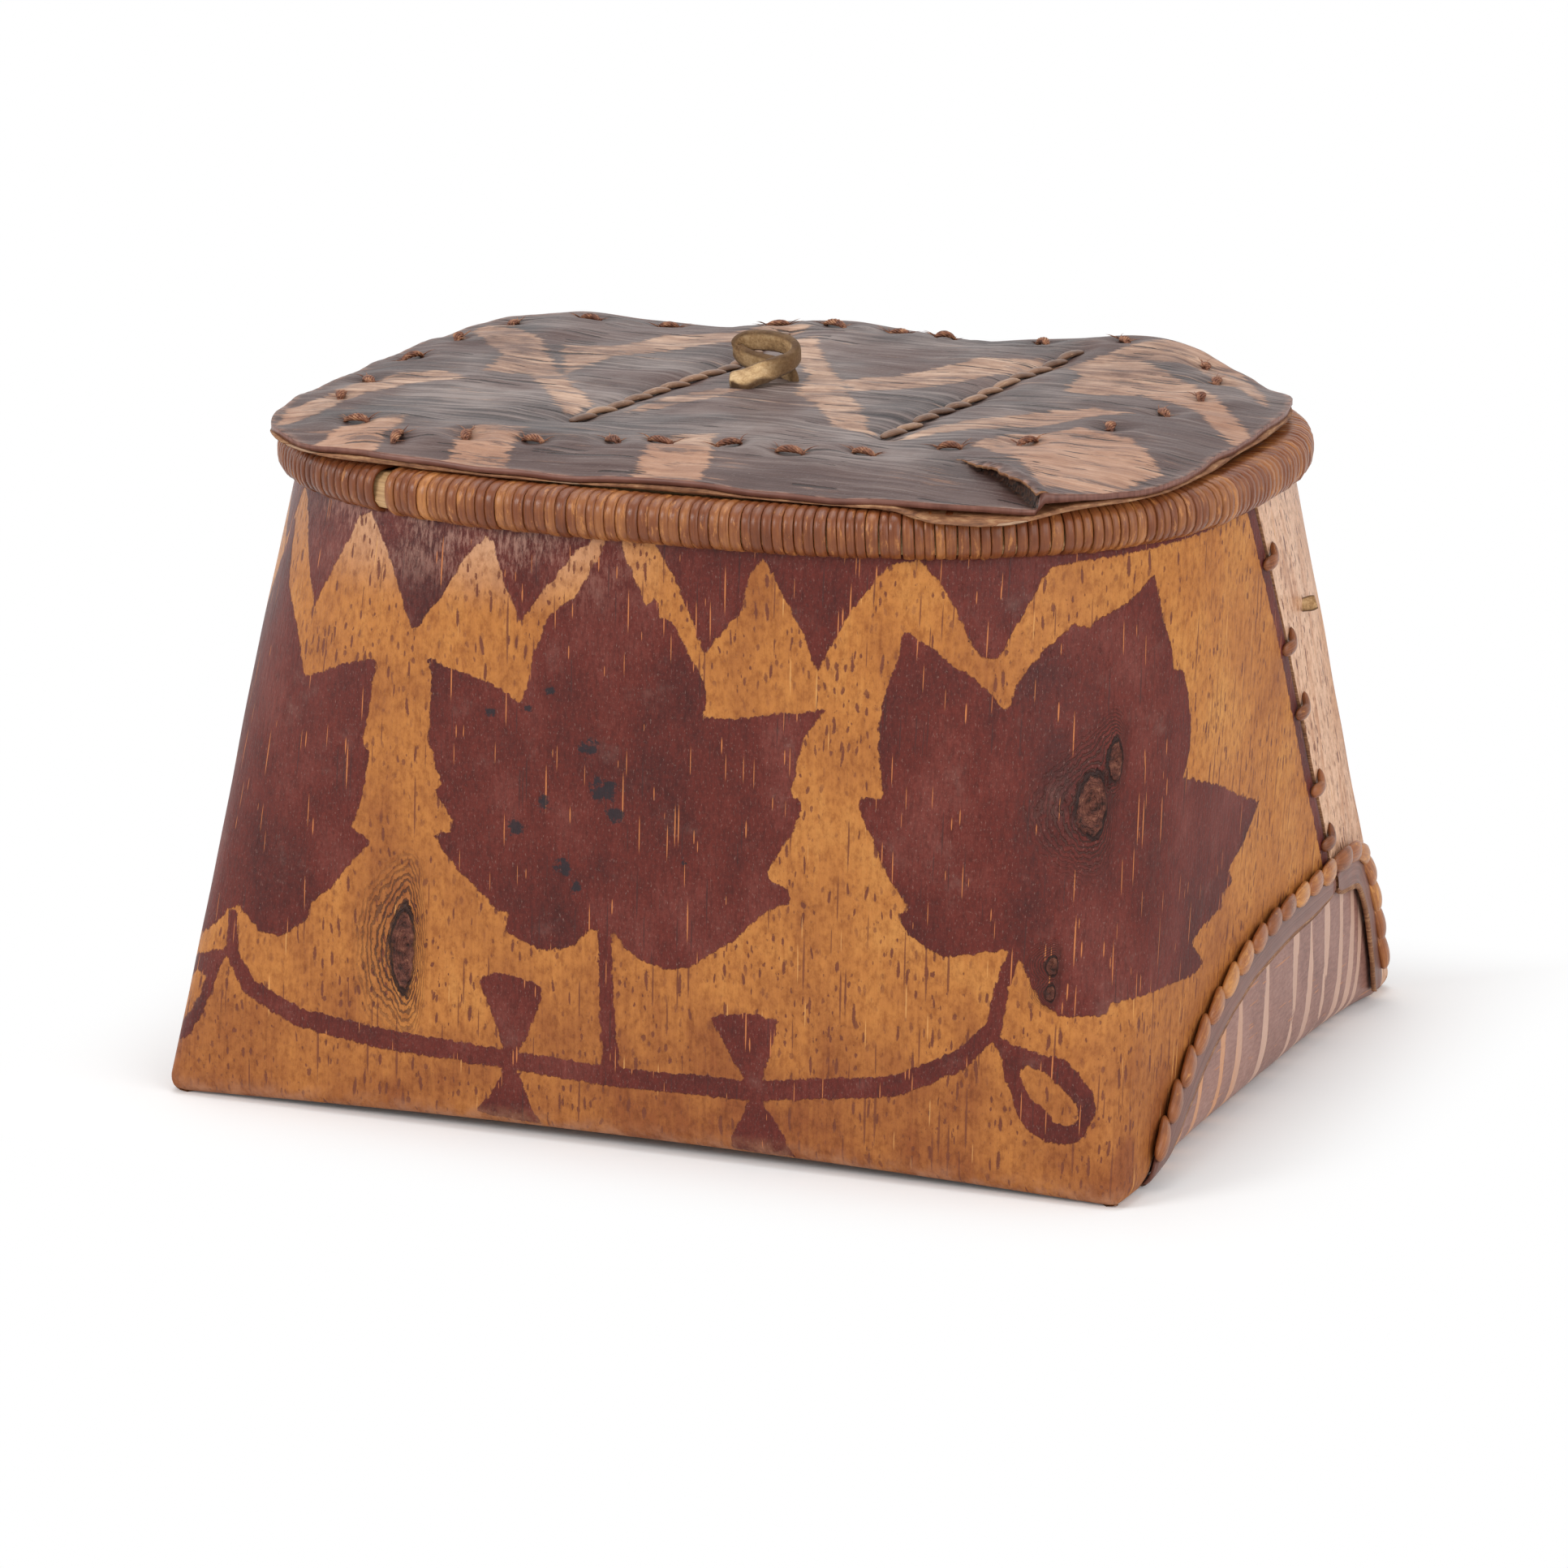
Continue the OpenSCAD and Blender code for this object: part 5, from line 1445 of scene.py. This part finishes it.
def lidUnder():
    # the lower layer: a torn lip hangs out at the front right
    width = lid["width"] + lid["step"]
    x, y, share = lidPlan(lid["underColumns"], lid["underRows"], lid["length"], width, 2.0, 53)
    lip = np.exp(-((x - 104) / 20) ** 4) * smoothStep(y, -70, -104) * smoothStep(share, 0.8, 1)
    frayed = smoothStep(share, 0.9, 1)
    y = y - lip * (6.6 + 2.4 * ripple(x, y * 0, 55, 5, 12.0)) + 0.5 * frayed * ripple(x, y, 57, 6, 16.0)
    up = np.minimum(lidRelief(x, y, share), 0.3) - 3.6 * lip
    low = lidLow(x, y)
    high = low + lid["underThick"] + np.minimum(up, 0.2) * smoothStep(share, 0.80, 0.93)
    k = lid["innerStep"]
    inside = np.stack([x, y, low - 2.8 * lip], -1)[::k, ::k]
    shellPiece("lidUnder", np.stack([x, y, high], -1), inside, k, "lid", [innerBark, cutBark],
               "lid_under_bark", {}, (x, y), marks=(1, 0, 1))


def tearLip():
    # torn edge: a thin ragged strip along the tear that hangs out over the sunken flap
    s = np.linspace(0.12, 0.89, 141)[:, None]
    x = np.interp(s, tearShare, tearLine[:, 0])
    y = np.interp(s, tearShare, tearLine[:, 1])
    fade = smoothStep(s, 0.12, 0.4) * (1 - 0.35 * smoothStep(s, 0.7, 0.89))
    w = np.linspace(1, 0, 13)[None, :]
    ragged = 2.4 + 1.7 * ripple(s * 70, s * 0, 67, 4, 37.0) + 0.5 * ripple(s * 70, s * 0, 68, 6, 7.0)
    off = -4.5 + w * (ragged * fade + 0.2 + 4.5)
    x, y = x + off * tearAway[0], y + off * tearAway[1]
    base = lidHeight(x, y) + lid["tearLift"] * smoothStep(s, 0.05, 0.75) * np.exp(np.minimum(off, 0) / 10)
    z = base - 0.25 + fade * (1.1 * smoothStep(w, 0, 0.5) - 0.7 * smoothStep(w, 0.6, 1))
    z = z + 0.25 * ripple(x, y, 69, 5, 9.0) * w * fade
    thick = 0.35 + 0.6 * fade * smoothStep(w, 0, 0.5)
    none = np.zeros(x.shape)
    worn = smoothStep(w, 0.72, 0.95) * fade
    shellPiece("tearLip", np.stack([x, y, z], -1), np.stack([x, y, z - thick], -1), 1, "lid",
               [lidBark, cutBark], None,
               {"bandBy": none - 8, "warmBy": none + 0.9, "paintedShadeBy": none, "rimBy": worn}, marks=(0, 1, 1))


lidTop()
lidUnder()
tearLip()


def lidTies():
    # strands that turn round one another over an arch, and hairs that leave both ends and thin out
    u = np.linspace(-1, 1, ties["rings"])
    w = (u + 1) / 2
    taper = 1.1 - 0.75 * u ** 2
    half = ties["half"] * (1.05 - 0.45 * u ** 2)
    thin = ties["hairHalf"] * (1.05 - w)
    tubes = []
    for place, turn in zip(np.array(lid["ties"]), tieTurns):
        along = np.array([np.cos(turn), np.sin(turn)])
        cross = np.array([-along[1], along[0]])
        long = ties["halfLong"] * rng.uniform(0.85, 1.1)
        rise = rng.uniform(1.3, 2.4)
        for strand in range(ties["strands"]):
            phase = 2 * np.pi * strand / ties["strands"] + 2.6 * u
            side = ties["spread"] * np.cos(phase) * taper
            flat = place + long * u[:, None] * along + side[:, None] * cross
            z = lidHeight(flat[:, 0], flat[:, 1]) + rise * (1 - u ** 2) + 0.7 * np.sin(phase) * taper - u ** 8
            tubes.append(tubePoints(np.column_stack([flat, z]), half, half * 0.8, 6))
        for hair in range(ties["hairs"]):
            # every other hair starts at the other end of the tie
            lean = turn + rng.uniform(-1.2, 1.2) + np.pi * (hair % 2)
            run = (rng.uniform(2.0, 6.5) * w)[:, None] * np.array([np.cos(lean), np.sin(lean)])
            flat = place + (long * 0.7 * (1 - 2 * (hair % 2))) * along
            flat = flat + run + (0.7 * np.sin(3 * w))[:, None] * cross
            z = lidHeight(flat[:, 0], flat[:, 1]) + 0.3 + rng.uniform(0.2, 1.9) * w * (1.6 - w)
            tubes.append(tubePoints(np.column_stack([flat, z]), thin, thin, 6))
    strandPiece("lidTies", "lid_ties", tubes, rng.uniform(0.2, 0.6, len(tubes)), body="lid", finish=tieFibre)


lidTies()

# running stitches across the lid: slanted beans, each over the tail of the last
lidRows = {
    "pitch": 10.6,
    "halfLong": 6.6,
    "halfWide": 1.75,
    "halfThick": 1.0,
    "slant": 1.3,
}


def lidRow(name, node, line):
    # beans in equal steps along a smooth line, each arched over the lid and slanted across the line
    e = lidRows
    route = smoothPath(line, 40)
    run = runAlong(route)
    count = int(run[-1] // e["pitch"])
    u = np.linspace(-1, 1, 15)
    fat = np.sqrt(np.clip(1 - np.abs(u) ** 2.4, 0.004, 1))
    tubes = []
    for i in range(count):
        at = run[-1] * (i + 0.5) / count + e["halfLong"] * rng.uniform(0.92, 1.08) * u
        x = np.interp(at, run, route[:, 0]) + e["slant"] * u
        y = np.interp(at, run, route[:, 1])
        z = lidHeight(x, y) + 0.4 + 0.8 * (1 - u ** 2) - 0.35 * u
        path = np.column_stack([x, y, z])
        tubes.append(tubePoints(path, e["halfWide"] * fat, e["halfThick"] * fat, 10, 2.2))
    strandPiece(name, node, tubes, rng.uniform(0.2, 0.6, count), body="lid", finish=rowRoot)


lidRow("lidRowLeft", "lid_row_left", lid["rowLeft"])
lidRow("lidRowRight", "lid_row_right", lid["rowRight"])

# the leather thong: a flat strap that curls on the lid, its knot below, and a cut end in the right side
thong = {
    "unit": 4.0,
    "pivot": (-9.0, 21.0, 210.78),
    "route": [(0, 0, -0.9), (-0.3, 0.1, 0.1), (-1.3, 0.5, 0.6), (-3.2, 1.0, 0.8), (-4.9, 1.5, 1.1),
              (-5.7, 1.9, 1.7), (-4.9, 2.1, 2.3), (-3.1, 1.9, 2.5), (-1.3, 1.4, 2.4), (-0.1, 0.5, 2.0),
              (-0.1, -0.8, 1.5), (-1.0, -1.9, 1.1), (-1.9, -2.9, 0.7), (-2.8, -3.8, 0.35),
              (-3.6, -4.6, 0.1)],
    "halfWide": 3.4,
    "halfThick": 1.6,
    "tab": 1.7,
    "knot": 5.2,
    "stubHeight": 146.0,
    "stubAway": 24.0,
    "stubOut": (-5.0, 4.2),
    "sides": 20,
}


def strapPiece(name, node, path, upright, halfWide, halfThick, body, darkOutside=0.0):
    # flat strap: a rounded oblong section carried along the path, with its broad side along upright;
    # darkOutside is how dark the side away from the middle of the curl is at each point
    d = unit(np.gradient(path, axis=0))
    broad = unit(upright - (upright * d).sum(1, keepdims=True) * d)
    turn = ring(thong["sides"])
    section = oblong(turn, 4)
    points = swept(path, broad, np.cross(broad, d), halfWide, halfThick, section)
    middle = path.mean(0)
    outer = np.linalg.norm(points - middle, axis=2) - np.linalg.norm(path - middle, axis=1)[:, None]
    edge = np.maximum(smoothStep(np.abs(section[0]), 0.62, 0.98),
                      np.reshape(darkOutside, (-1, 1)) * smoothStep(outer, 0.2, 1.0))
    flat, quads, caps = closedTubes(points[None])
    addPiece(name, flat, [(quads, 0), (caps, 0)], body, [suede], node, {"edgeBy": edge},
             np.stack(np.broadcast_arrays(np.arange(len(path))[:, None], turn * 2), -1))


def thongPull():
    # a strap along a smooth line through the route's points
    path = np.array(thong["pivot"]) + thong["unit"] * smoothPath(thong["route"], 9)
    share = np.linspace(0, 1, len(path))
    # stands on edge round the loop, lies down towards the tab
    lie = smoothStep(share, 0.72, 0.9)[:, None]
    upright = (1 - lie) * np.array([0.15, -0.45, 1.0]) + lie * np.array([-0.35, 0.9, 0.35])
    wide = thong["halfWide"] * (1 + (thong["tab"] - 1) * smoothStep(share, 0.8, 0.95))
    wide = wide * np.sqrt(np.clip(1 - smoothStep(share, 0.93, 1.0) ** 2 * 0.98, 0.02, 1))
    wide = wide * (0.7 + 0.3 * smoothStep(share, 0, 0.12)) + 0.15 * ripple(share * 90, share * 0, 61, 5, 22.0)
    thick = thong["halfThick"] * (1 + 0.1 * ripple(share * 90, share * 0, 63, 5, 18.0))
    dark = 0.8 * (1 - lie) + smoothStep(share, 0.975, 1.0)[:, None]
    strapPiece("thongPull", "lid_thong", path, upright, wide, thick, "thong", dark)


def thongKnot():
    # an overhand knot: a trefoil line, closed up tight, with the tail that goes up through the lid
    count = 121
    t = np.linspace(0, 2 * np.pi, count)
    size = thong["knot"] / 3.0
    x, y, z = np.sin(t) + 2 * np.sin(2 * t), np.cos(t) - 2 * np.cos(2 * t), -np.sin(3 * t)
    path = np.column_stack([x * size, y * size, z * size * 1.35])
    footX, footY = thong["pivot"][:2]
    foot = np.array([footX, footY, lidLow(footX, footY) - 5.4])
    loop = tubePoints(path, np.full(count, 2.4), np.full(count, 1.9), 10, 2.4, (0.2, 0.3, 1))
    tail = np.linspace((0.4, 0.3, -1.5), (0, 0, 10.6), count)
    post = tubePoints(tail, np.full(count, 2.1), np.full(count, 1.6), 10, 3.0, (0, 1, 0))
    points, quads, caps = closedTubes(np.stack([loop + foot, post + foot]))
    addPiece("thongKnot", points, [(quads, 0), (caps, 0)], "lid", [suede], "thong_knot",
             {"edgeBy": np.full(len(points), 0.25)})


def thongStub():
    # a short strap that comes straight out of the right end and bends a little
    u = np.linspace(0, 1, 40)
    y = seamLine(thong["stubHeight"]) + thong["stubAway"] + 1.2 * u ** 2
    path = endPoint(y, thong["stubHeight"] + 1.5 * u ** 2, np.linspace(*thong["stubOut"], len(u)))
    wide = 2.5 - 0.5 * u ** 3 + 0.25 * np.sin(9 * u)
    thick = 1.2 - 0.3 * u ** 2 + 0.15 * np.sin(5 * u)
    strapPiece("thongStub", "thong_stub", path, np.tile([0.0, 0.35, 1.0], (len(u), 1)), wide, thick, "basket")


thongPull()
thongKnot()
thongStub()


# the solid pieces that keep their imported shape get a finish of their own
kept = {"seam_strip_right": stripBark, "seam_strip_left": stripBark,
        "rim_hoop_outer": splintWood, "rim_hoop_inner": splintWood, "lid_hoop": splintWood}
for name, finish in kept.items():
    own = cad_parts[name]
    own.data.materials.clear()
    own.data.materials.append(finish)
print("kept nodes finished")

# plain pale floor, soft light and the camera of the photograph
stage = {
    "azimuth": 22.55,
    "elevation": 14.29,
    "distance": 2.1746,
    "target": (-0.004, 0.0, 0.0836),
    "lens": 156.8,
    "floor": 3.0,
    "worldLight": 0.42,
    "topLight": 14.0,
    "leftLight": 18.5,
    "rightLight": 24.0,
}


def aimed(piece, place, target):
    # turned so that the piece looks from its place at the target, with its top up
    back = unit(np.asarray(place, float) - np.asarray(target, float))
    right = unit(np.cross((0, 0, 1), back))
    up = np.cross(back, right)
    turn = mathutils.Matrix(np.column_stack([right, up, back]).tolist()).to_4x4()
    turn.translation = place
    piece.matrix_world = turn


def softLight(name, place, target, wide, power):
    light = bpy.data.lights.new(name, "AREA")
    light.shape = "RECTANGLE"
    light.size, light.size_y = wide
    light.energy = power
    piece = bpy.data.objects.new(name, light)
    bpy.context.scene.collection.objects.link(piece)
    aimed(piece, place, target)


def seenBy(tree):
    # one where the camera looks, directly or through a reflection, else zero
    rays = newNode(tree, "LightPath").outputs
    return most(*(Value(tree, rays["Is " + kind + " Ray"]) for kind in ("Camera", "Glossy", "Transmission")))


def floorFinish():
    # white towards the camera away from the object, plain and pale with its shadow near it
    material, tree, shader = newFinish("paleFloor", 0.9, 0.0)
    shader.inputs["Base Color"].default_value = (0.93, 0.93, 0.93, 1)
    where = newNode(tree, "SeparateXYZ")
    feed(where.inputs[0], objectPlace(tree))
    beyond = most(*(calc("ABSOLUTE", Value(tree, part)) - half
                    for part, half in zip(where.outputs, (0.15, 0.12))))
    mixed = newNode(tree, "MixShader")
    feed(mixed.inputs[0], seenBy(tree) * between(beyond, -0.005, 0.075))
    feed(mixed.inputs[1], Value(tree, shader.outputs[0]))
    feed(mixed.inputs[2], Value(tree, newNode(tree, "Emission").outputs[0]))
    feed(tree.nodes["Material Output"].inputs["Surface"], Value(tree, mixed.outputs[0]))
    return material


reach = stage["floor"]
corners = [(-reach, -reach, 0), (reach, -reach, 0), (reach, reach, 0), (-reach, reach, 0)]
floorMesh = bpy.data.meshes.new("floor")
floorMesh.from_pydata(corners, [], [(0, 1, 2, 3)])
floorMesh.materials.append(floorFinish())
floor = bpy.data.objects.new("floor", floorMesh)
bpy.context.scene.collection.objects.link(floor)

world = bpy.data.worlds.new("studio")
bpy.context.scene.world = world
world.use_nodes = True
ground = world.node_tree.nodes["Background"]
ground.inputs["Color"].default_value = (1, 1, 1, 1)
seen = seenBy(world.node_tree)
feed(ground.inputs["Strength"], between(seen, 0.0, 1.0, stage["worldLight"], 1.0, smooth=False))

softLight("topLight", (-0.2, 0.1, 1.8), (0, 0, 0.1), (1.4, 1.2), stage["topLight"])
softLight("leftLight", (-1.2, -1.5, 1.1), (0, 0, 0.1), (0.7, 0.7), stage["leftLight"])
softLight("rightLight", (1.7, -0.8, 0.9), (0, 0, 0.1), (1.9, 1.9), stage["rightLight"])

az, el = np.radians(stage["azimuth"]), np.radians(stage["elevation"])
towards = np.array([np.sin(az) * np.cos(el), -np.cos(az) * np.cos(el), np.sin(el)])
lens = bpy.data.cameras.new("camera")
lens.lens = stage["lens"]
lens.sensor_width = 36
lens.clip_end = 50
camera = bpy.data.objects.new("camera", lens)
bpy.context.scene.collection.objects.link(camera)
aimed(camera, np.array(stage["target"]) + towards * stage["distance"], stage["target"])
bpy.context.scene.camera = camera
bpy.context.scene.view_settings.view_transform = "Standard"
print("stage set")
